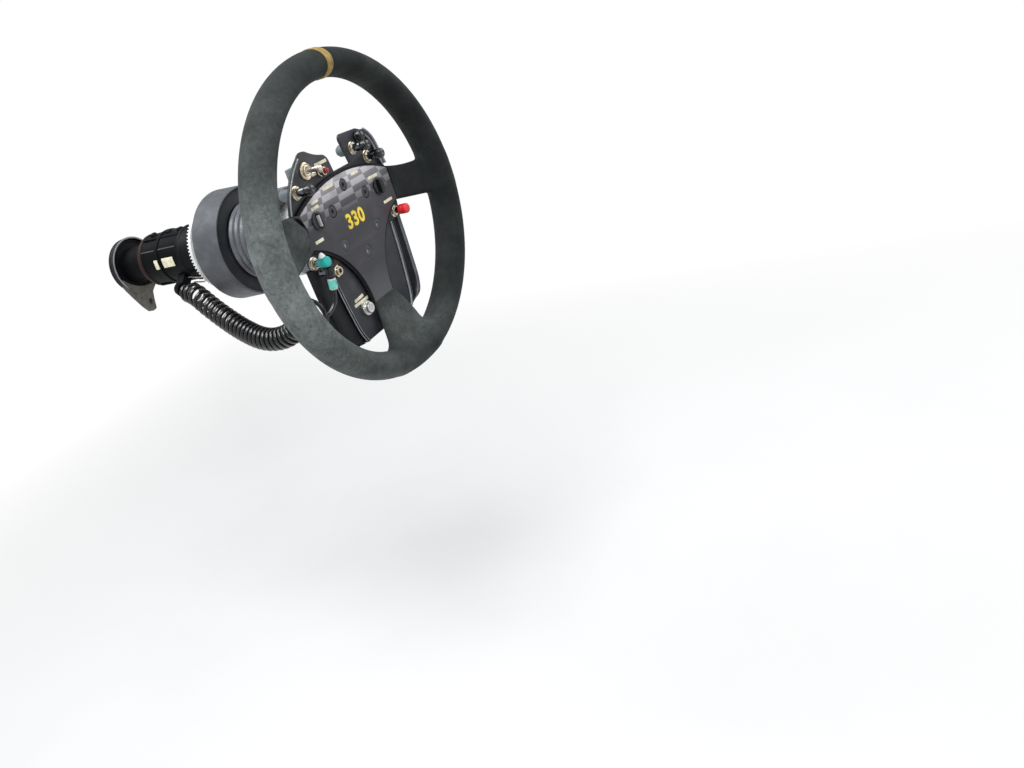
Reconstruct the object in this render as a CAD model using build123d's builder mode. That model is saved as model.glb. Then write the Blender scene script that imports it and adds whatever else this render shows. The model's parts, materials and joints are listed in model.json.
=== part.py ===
"""Steering wheel of a race car, on the head of its steering column.

Millimetres. +Z is twelve o'clock on the wheel, +Y runs down the column away from the
driver, and +X is to the driver's right. The origin is on the steering axis, in the rear
face of the column's mounting flange.
"""
import os
from math import cos, pi, radians, sin, tan

from build123d import *

os.makedirs("parts", exist_ok=True)

# Driving dimensions
RIM_DIAMETER = 327.0
GRIP_HALF_WIDTH = 14.0
GRIP_HALF_DEPTH = 18.1
GRIP_LEAN = -3.8
RIM_Y = -345.0
RIM_RADIUS = RIM_DIAMETER / 2 - GRIP_HALF_WIDTH
BOLT_CIRCLE = 70.0
SHAFT_RADIUS = 10.0
RUNNING_CLEARANCE = 0.05

# Depths of the plates behind the rim's own plane
FACE_FRONT = RIM_Y + 13.0
FACE_BACK = FACE_FRONT + 1.5
HUB_BACK = FACE_BACK + 4.0
CARRIER_BACK = HUB_BACK + 3.0

# Face plate
PLATE_TOP = 46.2
PLATE_SHOULDER = 28.5
PLATE_SIDE = 79.0
PLATE_WAIST = -4.5
PLATE_FOOT = -84.0
PLATE_FOOT_HALF = 17.0
HUB_PLATE_MARGIN = 2.8

# Switch carrier
WING_FOOT = -115.0
WAIST_Z = 49.5
CHEEK_FRONT = HUB_BACK - 1.0
CHEEK_BACK = HUB_BACK + 9.0
LIP_HEIGHT = 4.5

# Cup and toothed ring behind the bellows
CUP_FRONT_Y = RIM_Y + 147.0
CUP_BACK_Y = RIM_Y + 181.0
CUP_FRONT_RADIUS = 57.6
CUP_BACK_RADIUS = 59.2
CUP_LIP = 1.2
GEAR_FRONT_Y = RIM_Y + 197.5
TOOTH_FRONT_Y = RIM_Y + 200.3
GEAR_BACK_Y = RIM_Y + 202.5

# Column head
COLUMN_FRONT_Y = RIM_Y + 207.0
COLUMN_RADIUS = 30.0
HOUSING_BACK_Y = RIM_Y + 301.0
HOUSING_BACK_RADIUS = 28.2
TUBE_RADIUS = 20.0
BEARING_RADIUS = 14.0
BEARING_LENGTH = 12.0
FLANGE_FRONT_Y = -5.0
FLANGE_BOLT_CIRCLE = 50.0
FLANGE_HOLE_RADIUS = 2.75
RING_FRONT_Y = RIM_Y + 336.0
RING_RADIUS = 32.6
RING_WALL = 2.6
SHAFT_END_Y = 20.0
SHAFT_END_RADIUS = 8.7

# Coiled cord and its plain tail
COIL_DIAMETER = 24.6
CORD_DIAMETER = 4.4


def front(y):
    """Plane across the steering axis at y: its x is +X, its y is +Z, it faces the driver."""
    return Plane.XZ.offset(-y)


def finish(name, part):
    """Label one piece and write it."""
    part.label = name
    export_step(part, f"parts/{name}.step")


with BuildSketch() as plate_outline:
    with BuildLine():
        top = ThreePointArc((0, PLATE_TOP), (41, 41.6), (PLATE_SIDE, PLATE_SHOULDER))
        side = Line(top @ 1, (PLATE_SIDE, PLATE_WAIST))
        hollow = ThreePointArc(side @ 1, (36, -32), (PLATE_FOOT_HALF, -80))
        foot = Line(hollow @ 1, (PLATE_FOOT_HALF, PLATE_FOOT))
        Line(foot @ 1, (0, PLATE_FOOT))
        mirror(about=Plane.YZ)
    make_face()


# Rim

with BuildPart() as rim:
    with BuildSketch(Plane.XY):
        with Locations((RIM_RADIUS, RIM_Y)):
            Ellipse(GRIP_HALF_WIDTH, GRIP_HALF_DEPTH, rotation=GRIP_LEAN)
    revolve(axis=Axis.Y)
finish("rim", rim.part)

# Centre mark: a thin band round the grip, near twelve o'clock
MARK_ANGLE = 87.3
MARK_WIDTH = 9.5
MARK_THICKNESS = 0.5
mark_arc = MARK_WIDTH / (RIM_RADIUS * radians(1))
mark_plane = Plane(
    origin=(0, 0, 0),
    x_dir=(cos(radians(MARK_ANGLE - mark_arc / 2)), 0, sin(radians(MARK_ANGLE - mark_arc / 2))),
    z_dir=(-sin(radians(MARK_ANGLE - mark_arc / 2)), 0, cos(radians(MARK_ANGLE - mark_arc / 2))),
)
with BuildPart() as centre_mark:
    with BuildSketch(mark_plane):
        with Locations((RIM_RADIUS, RIM_Y)):
            Ellipse(
                GRIP_HALF_WIDTH + MARK_THICKNESS, GRIP_HALF_DEPTH + MARK_THICKNESS, rotation=GRIP_LEAN
            )
            Ellipse(GRIP_HALF_WIDTH, GRIP_HALF_DEPTH, rotation=GRIP_LEAN, mode=Mode.SUBTRACT)
    revolve(axis=Axis.Y, revolution_arc=-mark_arc)
finish("centre_mark", centre_mark.part)

# Spokes: each lofts from its seam on the plate to the rim, and the rim's grip is cut from
# its end. Sections: distance from the axis, offset across, width, front y, back y. The left
# one has a thumb rest: it stays wide and bulges forward.
SPOKE_RIGHT = (
    (PLATE_SIDE, 12.0, 37.0, 12.0, 18.5),
    (108.0, 5.5, 36.0, 6.0, 15.0),
    (147.0, 0.5, 42.0, -6.0, 10.0),
)
SPOKE_LEFT = (
    (PLATE_SIDE, -12.0, 37.0, 12.0, 18.5),
    (106.0, -11.0, 45.0, 3.0, 15.5),
    (147.0, -5.0, 50.0, -7.0, 10.0),
)
SPOKE_FOOT = (
    (-PLATE_FOOT, 0.5, 35.0, 12.0, 18.5),
    (108.0, 6.0, 55.0, 7.0, 15.5),
    (147.0, 2.0, 72.0, -6.0, 10.0),
)


def spoke(name, angle, sections):
    """One suede-covered spoke that leaves the plate at this angle, counter-clockwise from +X."""
    along = (cos(radians(angle)), 0, sin(radians(angle)))
    across = (-sin(radians(angle)), 0, cos(radians(angle)))
    with BuildPart() as part:
        for reach, shift, width, y_front, y_back in sections:
            middle = RIM_Y + (y_front + y_back) / 2
            depth = y_back - y_front
            origin = (
                reach * along[0] + shift * across[0],
                middle,
                reach * along[2] + shift * across[2],
            )
            with BuildSketch(Plane(origin=origin, x_dir=across, z_dir=along)):
                RectangleRounded(width, depth, depth * 0.45)
        loft()
        add(rim.part, mode=Mode.SUBTRACT)
        inner = max(part.solids(), key=lambda solid: solid.volume)
    finish(name, Part(inner.wrapped))


spoke("right_spoke", 0, SPOKE_RIGHT)
spoke("left_spoke", 180, SPOKE_LEFT)
spoke("bottom_spoke", 270, SPOKE_FOOT)

# Plates on the hub

with BuildPart() as face_plate:
    with BuildSketch(front(FACE_BACK)):
        add(plate_outline.sketch)
    extrude(amount=FACE_BACK - FACE_FRONT)
    with BuildSketch(front(FACE_BACK)):
        with PolarLocations(BOLT_CIRCLE / 2, 6, start_angle=30):
            Circle(6.4)
    extrude(amount=FACE_BACK - FACE_FRONT, mode=Mode.SUBTRACT)
finish("face_plate", face_plate.part)

with BuildPart() as hub_plate:
    with BuildSketch(front(HUB_BACK)):
        add(plate_outline.sketch)
        offset(amount=HUB_PLATE_MARGIN, kind=Kind.INTERSECTION)
        with Locations((0, (PLATE_FOOT + 100) / 2)):
            Rectangle(2 * PLATE_SIDE, 100 - PLATE_FOOT, mode=Mode.INTERSECT)
    extrude(amount=HUB_BACK - FACE_BACK)
finish("hub_plate", hub_plate.part)

with BuildPart() as hub_screws:
    for place in PolarLocations(BOLT_CIRCLE / 2, 6, start_angle=30):
        x, z = place.position.X, place.position.Y
        with BuildSketch(front(FACE_BACK)):
            with Locations((x, z)):
                Circle(5.6)
                RegularPolygon(2.6, 6, mode=Mode.SUBTRACT)
        extrude(amount=1.2)
finish("hub_screws", hub_screws.part)

# Switch carrier: two ears above the spokes, a tab between them, and two wings below. Each
# wing ends at a crest, given from its foot upward; a thick cheek follows outside the crest.
CHEEK_TOP = -24.0
CREST = (
    (42.5, WING_FOOT),
    (49.0, -102.0),
    (52.0, -85.0),
    (55.0, -66.0),
    (57.5, -45.0),
    (59.0, CHEEK_TOP),
)
CHEEK_EDGE = (
    (83.0, CHEEK_TOP),
    (82.0, -49.0),
    (80.3, -72.0),
    (78.3, -92.5),
    (73.5, -106.0),
    (67.0, -110.5),
    (56.0, -111.0),
)
with BuildPart() as switch_carrier:
    with BuildSketch(front(CARRIER_BACK)):
        with BuildLine():
            right_wing = Polyline((0, WING_FOOT), *CREST, CHEEK_EDGE[0])
            right_edge = Polyline(right_wing @ 1, (85, -10), (85.5, 25), (80.5, 48))
            right_corner = ThreePointArc(right_edge @ 1, (77.3, 62), (67.5, 73.5))
            crown = Polyline(right_corner @ 1, (58, 77.5), (33, 79))
            right_inner = ThreePointArc(crown @ 1, (27.6, 77.6), (26, 73))
            waist = Polyline(right_inner @ 1, (30.5, WAIST_Z), (0.5, WAIST_Z), (-1.0, 60))
            tab = ThreePointArc(waist @ 1, (-3.6, 66.4), (-9, 69.5))
            left_inner = ThreePointArc(tab @ 1, (-20, 73), (-30, 78.4))
            left_crown = ThreePointArc(left_inner @ 1, (-37.5, 80), (-45, 76.6))
            left_ear = ThreePointArc(left_crown @ 1, (-68.4, 57.8), (-82, 37))
            left_bend = ThreePointArc(left_ear @ 1, (-84.6, 31), (-85.5, 25))
            left_edge = Polyline(left_bend @ 1, (-85, -10), (-CHEEK_EDGE[0][0], CHEEK_TOP))
            Polyline(left_edge @ 1, *((-x, z) for x, z in reversed(CREST)), (0, WING_FOOT))
        make_face()
        Circle(22, mode=Mode.SUBTRACT)
        with Locations((-29, -48.6)):
            Circle(1.6, mode=Mode.SUBTRACT)
    extrude(amount=CARRIER_BACK - HUB_BACK)
finish("switch_carrier", switch_carrier.part)

# Cheeks of the wings, and the low lip round the right ear
for side, sign in (("right", 1), ("left", -1)):
    with BuildPart() as cheek:
        with BuildSketch(front(CHEEK_BACK)):
            with BuildLine():
                Polyline(*((sign * x, z) for x, z in (*CREST, *CHEEK_EDGE)), close=True)
            make_face()
        extrude(amount=CHEEK_BACK - CHEEK_FRONT)
    finish(f"{side}_wing_cheek", cheek.part)
    left_wing_cheek = cheek.part

with BuildPart() as right_ear_lip:
    with BuildSketch(front(HUB_BACK)):
        with BuildLine():
            Polyline(
                (65.5, 74.6),
                (72.0, 69.6),
                (77.5, 61.0),
                (80.2, 48.2),
                (83.7, 33),
                (78.2, 33),
                (75.0, 47.0),
                (72.4, 58.6),
                (67.6, 66.0),
                (62.0, 70.0),
                close=True,
            )
        make_face()
    extrude(amount=LIP_HEIGHT)
    fillet(right_ear_lip.faces().sort_by(Axis.Y)[0].edges(), 1.4)
finish("right_ear_lip", right_ear_lip.part)

# Controls on the carrier and the face plate

PUSH_PLACES = ((-64.8, 48.4), (41.6, 61.2), (60.4, 47.2))
RED_PLACE = (73.0, -16.4)
TEAL_PLACE = (-78.8, -17.3)
TOGGLE_PLACE = (-41.0, 62.4)
LAMP_PLACE = (-21.5, 55.6)
START_PLACE = (-30.5, -84.5)
BUSHING_PLACE = (-51.5, -35.8)
GROMMET_PLACE = (55.5, 69.4)
NUT_HEIGHT = 3.0
NUT_RADIUS = 6.4
STEM_RADIUS = 3.0
BARREL_RADIUS = 4.3
BARREL_LENGTH = 9.0
PUSH_RADIUS = 5.0
PUSH_LENGTH = 9.0
NECK_LENGTH = 4.0
CAP_RADIUS = 5.3
CAP_LENGTH = 11.5

with BuildPart() as switch_nuts:
    for x, z in (*PUSH_PLACES, RED_PLACE, TEAL_PLACE):
        with BuildSketch(front(HUB_BACK)):
            with Locations((x, z)):
                RegularPolygon(NUT_RADIUS, 6)
                Circle(STEM_RADIUS, mode=Mode.SUBTRACT)
        extrude(amount=NUT_HEIGHT)
    for x, z in PUSH_PLACES:
        with BuildSketch(front(HUB_BACK - NUT_HEIGHT)):
            with Locations((x, z)):
                Circle(BARREL_RADIUS)
                Circle(STEM_RADIUS, mode=Mode.SUBTRACT)
        extrude(amount=BARREL_LENGTH)
finish("switch_nuts", switch_nuts.part)


def button(name, places, reach, radius, length):
    """Push-button caps on stems that reach out through the nuts."""
    with BuildPart() as part:
        for x, z in places:
            with BuildSketch(front(HUB_BACK)):
                with Locations((x, z)):
                    Circle(STEM_RADIUS)
            extrude(amount=reach)
            with BuildSketch(front(HUB_BACK - reach)):
                with Locations((x, z)):
                    Circle(radius)
            extrude(amount=length)
        fillet(part.faces().filter_by(Axis.Y).group_by(Axis.Y)[0].edges(), 1.6)
    finish(name, part.part)


button("black_buttons", PUSH_PLACES, NUT_HEIGHT + BARREL_LENGTH, PUSH_RADIUS, PUSH_LENGTH)
button("red_button", [RED_PLACE], NUT_HEIGHT + NECK_LENGTH, CAP_RADIUS, CAP_LENGTH)
button("teal_button", [TEAL_PLACE], NUT_HEIGHT + NECK_LENGTH, CAP_RADIUS, CAP_LENGTH)

with BuildPart() as teal_button_tip:
    tip_foot = (TEAL_PLACE[0], HUB_BACK - 12.8, TEAL_PLACE[1] + CAP_RADIUS - 0.5)
    with BuildSketch(Plane(origin=tip_foot, x_dir=(1, 0, 0), z_dir=(0, 0, 1))):
        Circle(3.6)
    extrude(amount=5.0, taper=28)
    with BuildSketch(front(HUB_BACK - NUT_HEIGHT - NECK_LENGTH)):
        with Locations(TEAL_PLACE):
            Circle(CAP_RADIUS)
    extrude(amount=CAP_LENGTH, mode=Mode.SUBTRACT)
finish("teal_button_tip", teal_button_tip.part)

with BuildPart() as toggle_base:
    for y, radius, height in ((HUB_BACK, 8.5, 1.6), (HUB_BACK - 1.6, 6.0, 1.8)):
        with BuildSketch(front(y)):
            with Locations(TOGGLE_PLACE):
                Circle(radius)
                Circle(3.0, mode=Mode.SUBTRACT)
        extrude(amount=height)
finish("toggle_base", toggle_base.part)

with BuildPart() as toggle_lever:
    with BuildSketch(front(HUB_BACK)):
        with Locations(TOGGLE_PLACE):
            Circle(3.0)
    extrude(amount=1.6)
    for y, radius, length in ((HUB_BACK - 1.6, 2.2, 14.9), (HUB_BACK - 16.5, 2.9, 3.5)):
        with BuildSketch(front(y)):
            with Locations(TOGGLE_PLACE):
                Circle(radius)
        extrude(amount=length)
    fillet(toggle_lever.faces().sort_by(Axis.Y)[0].edges(), 1.2)
finish("toggle_lever", toggle_lever.part)

with BuildPart() as lamp_collar:
    with BuildSketch(front(HUB_BACK)):
        with Locations(LAMP_PLACE):
            RegularPolygon(5.4, 6)
    extrude(amount=2.0)
    with BuildSketch(front(HUB_BACK - 2.0)):
        with Locations(LAMP_PLACE):
            Circle(4.4)
    extrude(amount=5.0)
finish("lamp_collar", lamp_collar.part)

with BuildPart() as lamp:
    with BuildSketch(front(HUB_BACK - 7.0)):
        with Locations(LAMP_PLACE):
            Circle(2.9)
    extrude(amount=5.5)
    fillet(lamp.faces().sort_by(Axis.Y)[0].edges(), 2.0)
finish("lamp", lamp.part)

with BuildPart() as start_button:
    for y, radius, height in ((HUB_BACK, 7.7, 4.0), (HUB_BACK - 4.0, 5.4, 4.5)):
        with BuildSketch(front(y)):
            with Locations(START_PLACE):
                Circle(radius)
        extrude(amount=height)
    fillet(start_button.faces().sort_by(Axis.Y)[0].edges(), 1.0)
finish("start_button", start_button.part)

with BuildPart() as spare_bushing:
    with BuildSketch(front(HUB_BACK)):
        with Locations(BUSHING_PLACE):
            RegularPolygon(6.3, 6)
            Circle(2.4, mode=Mode.SUBTRACT)
    extrude(amount=4.0)
finish("spare_bushing", spare_bushing.part)

with BuildPart() as ear_grommet:
    with BuildSketch(front(HUB_BACK)):
        with Locations(GROMMET_PLACE):
            Circle(6.0)
    extrude(amount=9.0)
    fillet(ear_grommet.faces().sort_by(Axis.Y)[0].edges(), 2.0)
    add(right_ear_lip.part, mode=Mode.SUBTRACT)
finish("ear_grommet", ear_grommet.part)

# Rotary knobs: a flat disc with a finger bar across it
KNOB_RADIUS = 9.2
KNOB_HEIGHT = 2.0
BAR_LENGTH = 15.0
BAR_WIDTH = 3.6
BAR_HEIGHT = 3.0
for side, x, z in (("left", -57.0, 17.3), ("right", 54.9, 15.9)):
    with BuildPart() as knob:
        with BuildSketch(front(FACE_FRONT)):
            with Locations((x, z)):
                Circle(KNOB_RADIUS)
        extrude(amount=KNOB_HEIGHT)
        chamfer(knob.faces().sort_by(Axis.Y)[0].edges(), 0.6)
        with BuildSketch(front(FACE_FRONT - KNOB_HEIGHT)):
            with Locations((x, z)):
                RectangleRounded(BAR_WIDTH, BAR_LENGTH, 1.5)
        extrude(amount=BAR_HEIGHT)
    finish(f"{side}_rotary_knob", knob.part)

SWITCH_BODY_RADIUS = 6.0
SWITCH_BODY_LENGTH = 16.0
with BuildPart() as switch_bodies:
    for place in (*PUSH_PLACES, RED_PLACE, TEAL_PLACE):
        with BuildSketch(front(CARRIER_BACK)):
            with Locations(place):
                Circle(SWITCH_BODY_RADIUS)
        extrude(amount=-SWITCH_BODY_LENGTH)
    with BuildSketch(front(CARRIER_BACK)):
        with Locations(TOGGLE_PLACE):
            RectangleRounded(2 * SWITCH_BODY_RADIUS, 2 * SWITCH_BODY_RADIUS, 1)
    extrude(amount=-SWITCH_BODY_LENGTH)
finish("switch_bodies", switch_bodies.part)

# Hub, bellows, cup and toothed ring on the steering shaft


def turned(name, profile):
    """A round piece turned from its (radius, y) profile."""
    with BuildPart() as part:
        with BuildSketch(Plane.XY):
            with BuildLine():
                Polyline(*profile, close=True)
            make_face()
        revolve(axis=Axis.Y)
    finish(name, part.part)
    return part.part


BOSS_FRONT_Y = RIM_Y + 85.0
BELLOWS_FRONT_Y = RIM_Y + 110.0
turned(
    "hub_adapter",
    [
        (SHAFT_RADIUS, HUB_BACK),
        (21, HUB_BACK),
        (21, CARRIER_BACK + 1),
        (40, CARRIER_BACK + 1),
        (40, CARRIER_BACK + 11),
        (33.5, CARRIER_BACK + 15),
        (33.5, BOSS_FRONT_Y - 3),
        (31, BOSS_FRONT_Y - 3),
        (31, BOSS_FRONT_Y),
        (SHAFT_RADIUS, BOSS_FRONT_Y),
    ],
)
turned(
    "boss_ring",
    [
        (SHAFT_RADIUS, BOSS_FRONT_Y),
        (45, BOSS_FRONT_Y),
        (46, BOSS_FRONT_Y + 1),
        (46, BOSS_FRONT_Y + 11),
        (44.5, BOSS_FRONT_Y + 12),
        (44.5, BOSS_FRONT_Y + 14),
        (46, BOSS_FRONT_Y + 15),
        (46, BELLOWS_FRONT_Y),
        (SHAFT_RADIUS, BELLOWS_FRONT_Y),
    ],
)

BELLOWS_FOLDS = 5
BELLOWS_BACK_Y = CUP_FRONT_Y + 1.5
BELLOWS_CREST = 42.5
BELLOWS_ROOT = 38.0
fold = (BELLOWS_BACK_Y - BELLOWS_FRONT_Y) / BELLOWS_FOLDS
fold_points = []
for index in range(BELLOWS_FOLDS):
    start = BELLOWS_FRONT_Y + index * fold
    for share, radius in ((0, BELLOWS_ROOT), (0.22, 41.0), (0.5, BELLOWS_CREST), (0.78, 41.0)):
        fold_points.append((radius, start + share * fold))
turned(
    "bellows",
    [
        (SHAFT_RADIUS + 4, BELLOWS_FRONT_Y),
        *fold_points,
        (BELLOWS_ROOT, BELLOWS_BACK_Y),
        (SHAFT_RADIUS + 4, BELLOWS_BACK_Y),
    ],
)

turned(
    "cup",
    [
        (SHAFT_RADIUS, BELLOWS_BACK_Y),
        (CUP_FRONT_RADIUS - CUP_LIP, BELLOWS_BACK_Y),
        (CUP_FRONT_RADIUS - CUP_LIP, CUP_FRONT_Y),
        (CUP_FRONT_RADIUS, CUP_FRONT_Y),
        (CUP_BACK_RADIUS, CUP_BACK_Y),
        (SHAFT_RADIUS, CUP_BACK_Y),
    ],
)

RING_TEETH = 76
TOOTH_ROOT = 43.9
TOOTH_TIP = 45.8
RING_HUB_RADIUS = 16.0
tooth_points = []
for index in range(RING_TEETH):
    for share, radius in ((-0.3, TOOTH_ROOT), (-0.16, TOOTH_TIP), (0.16, TOOTH_TIP), (0.3, TOOTH_ROOT)):
        turn = radians(360 * (index + share) / RING_TEETH)
        tooth_points.append((radius * cos(turn), radius * sin(turn)))
with BuildPart() as angle_ring:
    with BuildSketch(front(GEAR_BACK_Y)):
        with BuildLine():
            Polyline(*tooth_points, close=True)
        make_face()
    extrude(amount=GEAR_BACK_Y - TOOTH_FRONT_Y)
    with BuildSketch(front(TOOTH_FRONT_Y)):
        Circle(TOOTH_TIP)
    extrude(amount=TOOTH_FRONT_Y - GEAR_FRONT_Y)
    with BuildSketch(front(GEAR_FRONT_Y)):
        Circle(RING_HUB_RADIUS)
    extrude(amount=GEAR_FRONT_Y - CUP_BACK_Y)
    with BuildSketch(front(GEAR_BACK_Y)):
        Circle(SHAFT_RADIUS)
    extrude(amount=GEAR_BACK_Y - CUP_BACK_Y, mode=Mode.SUBTRACT)
finish("angle_ring", angle_ring.part)

with BuildPart() as steering_shaft:
    with BuildSketch(front(HUB_BACK)):
        Circle(SHAFT_RADIUS)
    extrude(amount=HUB_BACK)
    with BuildSketch(front(0)):
        Circle(SHAFT_END_RADIUS)
    extrude(amount=-SHAFT_END_Y)
    chamfer(steering_shaft.faces().sort_by(Axis.Y)[-1].edges(), 1.5)
finish("steering_shaft", steering_shaft.part)

# Column head: housing with two bands, inner tube, bearings, mounting ring with its web

BAND_MIDDLES = (RIM_Y + 268.0, RIM_Y + 296.0)
BAND_HEIGHT = 1.3
BAND_WIDTH = 3.5
housing_points = [
    (BEARING_RADIUS, COLUMN_FRONT_Y),
    (COLUMN_RADIUS - 1.5, COLUMN_FRONT_Y),
    (COLUMN_RADIUS, COLUMN_FRONT_Y + 1.5),
    (COLUMN_RADIUS, RIM_Y + 262.0),
]
for middle in BAND_MIDDLES:
    taper = (middle - RIM_Y - 262.0) / (HOUSING_BACK_Y - RIM_Y - 262.0)
    radius = COLUMN_RADIUS + taper * (HOUSING_BACK_RADIUS - COLUMN_RADIUS)
    housing_points += [
        (radius, middle - BAND_WIDTH / 2),
        (radius + BAND_HEIGHT, middle - BAND_WIDTH / 2),
        (radius + BAND_HEIGHT, middle + BAND_WIDTH / 2),
        (radius, middle + BAND_WIDTH / 2),
    ]
column_housing = turned(
    "column_housing",
    [
        *housing_points,
        (HOUSING_BACK_RADIUS, HOUSING_BACK_Y),
        (HOUSING_BACK_RADIUS - 2, HOUSING_BACK_Y),
        (HOUSING_BACK_RADIUS - 2, HOUSING_BACK_Y - 6),
        (TUBE_RADIUS, HOUSING_BACK_Y - 6),
        (TUBE_RADIUS, FLANGE_FRONT_Y),
        (BEARING_RADIUS, FLANGE_FRONT_Y),
    ],
)

for name, back in (("front_bearing", COLUMN_FRONT_Y + BEARING_LENGTH), ("rear_bearing", 0.0)):
    with BuildPart() as bearing:
        with BuildSketch(front(back)):
            Circle(BEARING_RADIUS)
            Circle(SHAFT_RADIUS + RUNNING_CLEARANCE, mode=Mode.SUBTRACT)
        extrude(amount=BEARING_LENGTH)
    finish(name, bearing.part)

WEB_BACK_Y = -1.0
WEB_THICKNESS = 7.0
WEB_HOLE = (-4.0, -45.0)
WEB_HOLE_RADIUS = 3.3
with BuildPart() as mount_bracket:
    with BuildSketch(Plane.XY):
        with BuildLine():
            Polyline(
                (RING_RADIUS - RING_WALL, RING_FRONT_Y),
                (RING_RADIUS, RING_FRONT_Y),
                (RING_RADIUS, 0),
                (BEARING_RADIUS, 0),
                (BEARING_RADIUS, FLANGE_FRONT_Y),
                (RING_RADIUS - RING_WALL, FLANGE_FRONT_Y),
                close=True,
            )
        make_face()
    revolve(axis=Axis.Y)
    with BuildSketch(front(0)):
        with PolarLocations(FLANGE_BOLT_CIRCLE / 2, 4, start_angle=45):
            Circle(FLANGE_HOLE_RADIUS)
    extrude(amount=-FLANGE_FRONT_Y, mode=Mode.SUBTRACT)
    with BuildSketch(front(WEB_BACK_Y)):
        with BuildLine():
            inner_side = Polyline((-27, -12), (-13, -39), (-10, -52), (-3, -60))
            Polyline(inner_side @ 1, (5, -52), (27, -37), (30, -8), inner_side @ 0)
        make_face()
        Circle(RING_RADIUS - 1, mode=Mode.SUBTRACT)
        with Locations(WEB_HOLE):
            Circle(WEB_HOLE_RADIUS, mode=Mode.SUBTRACT)
    extrude(amount=WEB_THICKNESS)
finish("mount_bracket", mount_bracket.part)

# Coiled cord from the column's underside to the plug on the wheel, with its plain tail

# Route points: x, distance behind the rim's plane, z
COIL_POINTS = (
    (-36, 240, -31),
    (-45, 218, -34),
    (-56, 196, -45),
    (-66, 168, -61),
    (-76, 139, -74.5),
    (-83, 112, -84),
    (-83, 88, -85.5),
    (-80.5, 68, -79),
    (-79, 50, -64),
)
COIL_ROUTE = [(x, RIM_Y + behind, z) for x, behind, z in COIL_POINTS]
PLUG_TOP = Vector(-77.6, RIM_Y + 4.0, -23.0)
SLEEVE_END = Vector(-78.6, RIM_Y + 6.5, -45.0)
PLUG_MIDDLE = PLUG_TOP + (SLEEVE_END - PLUG_TOP) * 0.48
TAIL_POINTS = (
    (-79.6, 7.5, -53.5),
    (-85.4, 10.0, -61.0),
    (-96.0, 13.5, -66.0),
    (-107.5, 18.0, -68.5),
    (-117.0, 22.0, -77.0),
    (-118.0, 24.5, -89.0),
    (-109.5, 26.0, -98.5),
    (-97.0, 26.5, -99.0),
    (-88.3, 25.5, -90.5),
    (-86.0, 24.0, -78.5),
    (-86.6, 21.5, -66.5),
    (-87.6, 22.0, -55.5),
    (-90.5, 28.0, -47.5),
    (-92.5, 38.0, -46.0),
)
TAIL_ROUTE = [tuple(SLEEVE_END), *((x, RIM_Y + behind, z) for x, behind, z in TAIL_POINTS)]


def corner_radii(points):
    """The largest radius that each corner's two runs allow."""
    radii = []
    for before, here, after in zip(points, points[1:], points[2:]):
        first = Vector(*here) - Vector(*before)
        second = Vector(*after) - Vector(*here)
        half_turn = radians(first.get_angle(second)) / 2
        radii.append(0.45 * min(first.length, second.length) / tan(half_turn))
    return radii


def cord_tube(name, points, diameter):
    """A round tube along straight runs joined by tangent arcs."""
    radii = corner_radii(points)
    with BuildPart() as tube:
        with BuildLine() as route:
            FilletPolyline(*points, radius=radii)
        path = route.wires()[0]
        with BuildSketch(Plane(origin=path @ 0, z_dir=path % 0)):
            Circle(diameter / 2)
        sweep(path=path)
    expected = path.length * pi * diameter**2 / 4
    print(name, "radii", [round(radius) for radius in radii], "length", round(path.length, 1))
    print(name, "volume", round(tube.part.volume), "section times length", round(expected))
    finish(name, tube.part)


cord_tube("coiled_cord", COIL_ROUTE, COIL_DIAMETER)
cord_tube("cord_tail", TAIL_ROUTE, CORD_DIAMETER)

# Gland: a cone behind the coil's first turn, on a block that stands on the housing
GLAND_RADIUS = 9.0
GLAND_LENGTH = 12.0
coil_start = Vector(*COIL_ROUTE[0])
coil_back = (coil_start - Vector(*COIL_ROUTE[1])).normalized()
gland_out = Vector(coil_start.X, 0, coil_start.Z).normalized()
with BuildPart() as cord_gland:
    with BuildSketch(Plane(origin=coil_start, z_dir=coil_back)):
        Circle(GLAND_RADIUS)
    extrude(amount=GLAND_LENGTH, taper=8.0)
    foot_origin = gland_out * (COLUMN_RADIUS - 3) + Vector(0, coil_start.Y + 6, 0)
    with BuildSketch(Plane(origin=foot_origin, x_dir=(0, 1, 0), z_dir=gland_out)):
        Rectangle(10, 11)
    extrude(amount=16)
    add(column_housing, mode=Mode.SUBTRACT)
finish("cord_gland", cord_gland.part)

SLEEVE_RADIUS = 4.1
PLUG_RADIUS = 4.5
plug_down = (SLEEVE_END - PLUG_TOP).normalized()
with BuildPart() as plug_sleeve:
    with BuildSketch(Plane(origin=PLUG_MIDDLE, z_dir=plug_down)):
        Circle(SLEEVE_RADIUS)
    extrude(amount=(SLEEVE_END - PLUG_MIDDLE).length)
finish("plug_sleeve", plug_sleeve.part)

with BuildPart() as plug_body:
    with BuildSketch(Plane(origin=PLUG_TOP, z_dir=plug_down)):
        Circle(PLUG_RADIUS)
    extrude(amount=(PLUG_MIDDLE - PLUG_TOP).length)
    with BuildSketch(front(HUB_BACK)):
        with Locations((PLUG_TOP.X + 3, PLUG_TOP.Z - 5)):
            Circle(3.4)
    extrude(amount=HUB_BACK - PLUG_TOP.Y - 2)
    add(left_wing_cheek, mode=Mode.SUBTRACT)
finish("plug_body", plug_body.part)
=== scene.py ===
"""The looks of a race car's steering wheel on its column head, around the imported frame.

Metres. +Z is twelve o'clock on the wheel, +Y runs down the column away from the driver, and
+X is to the driver's right. A distance "behind" is along +Y, from the plane of the rim.
"""
import json
from math import atan2, cos, hypot, pi, radians, sin

import bmesh
import bpy
import numpy as np
from mathutils import Matrix, Vector


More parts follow.
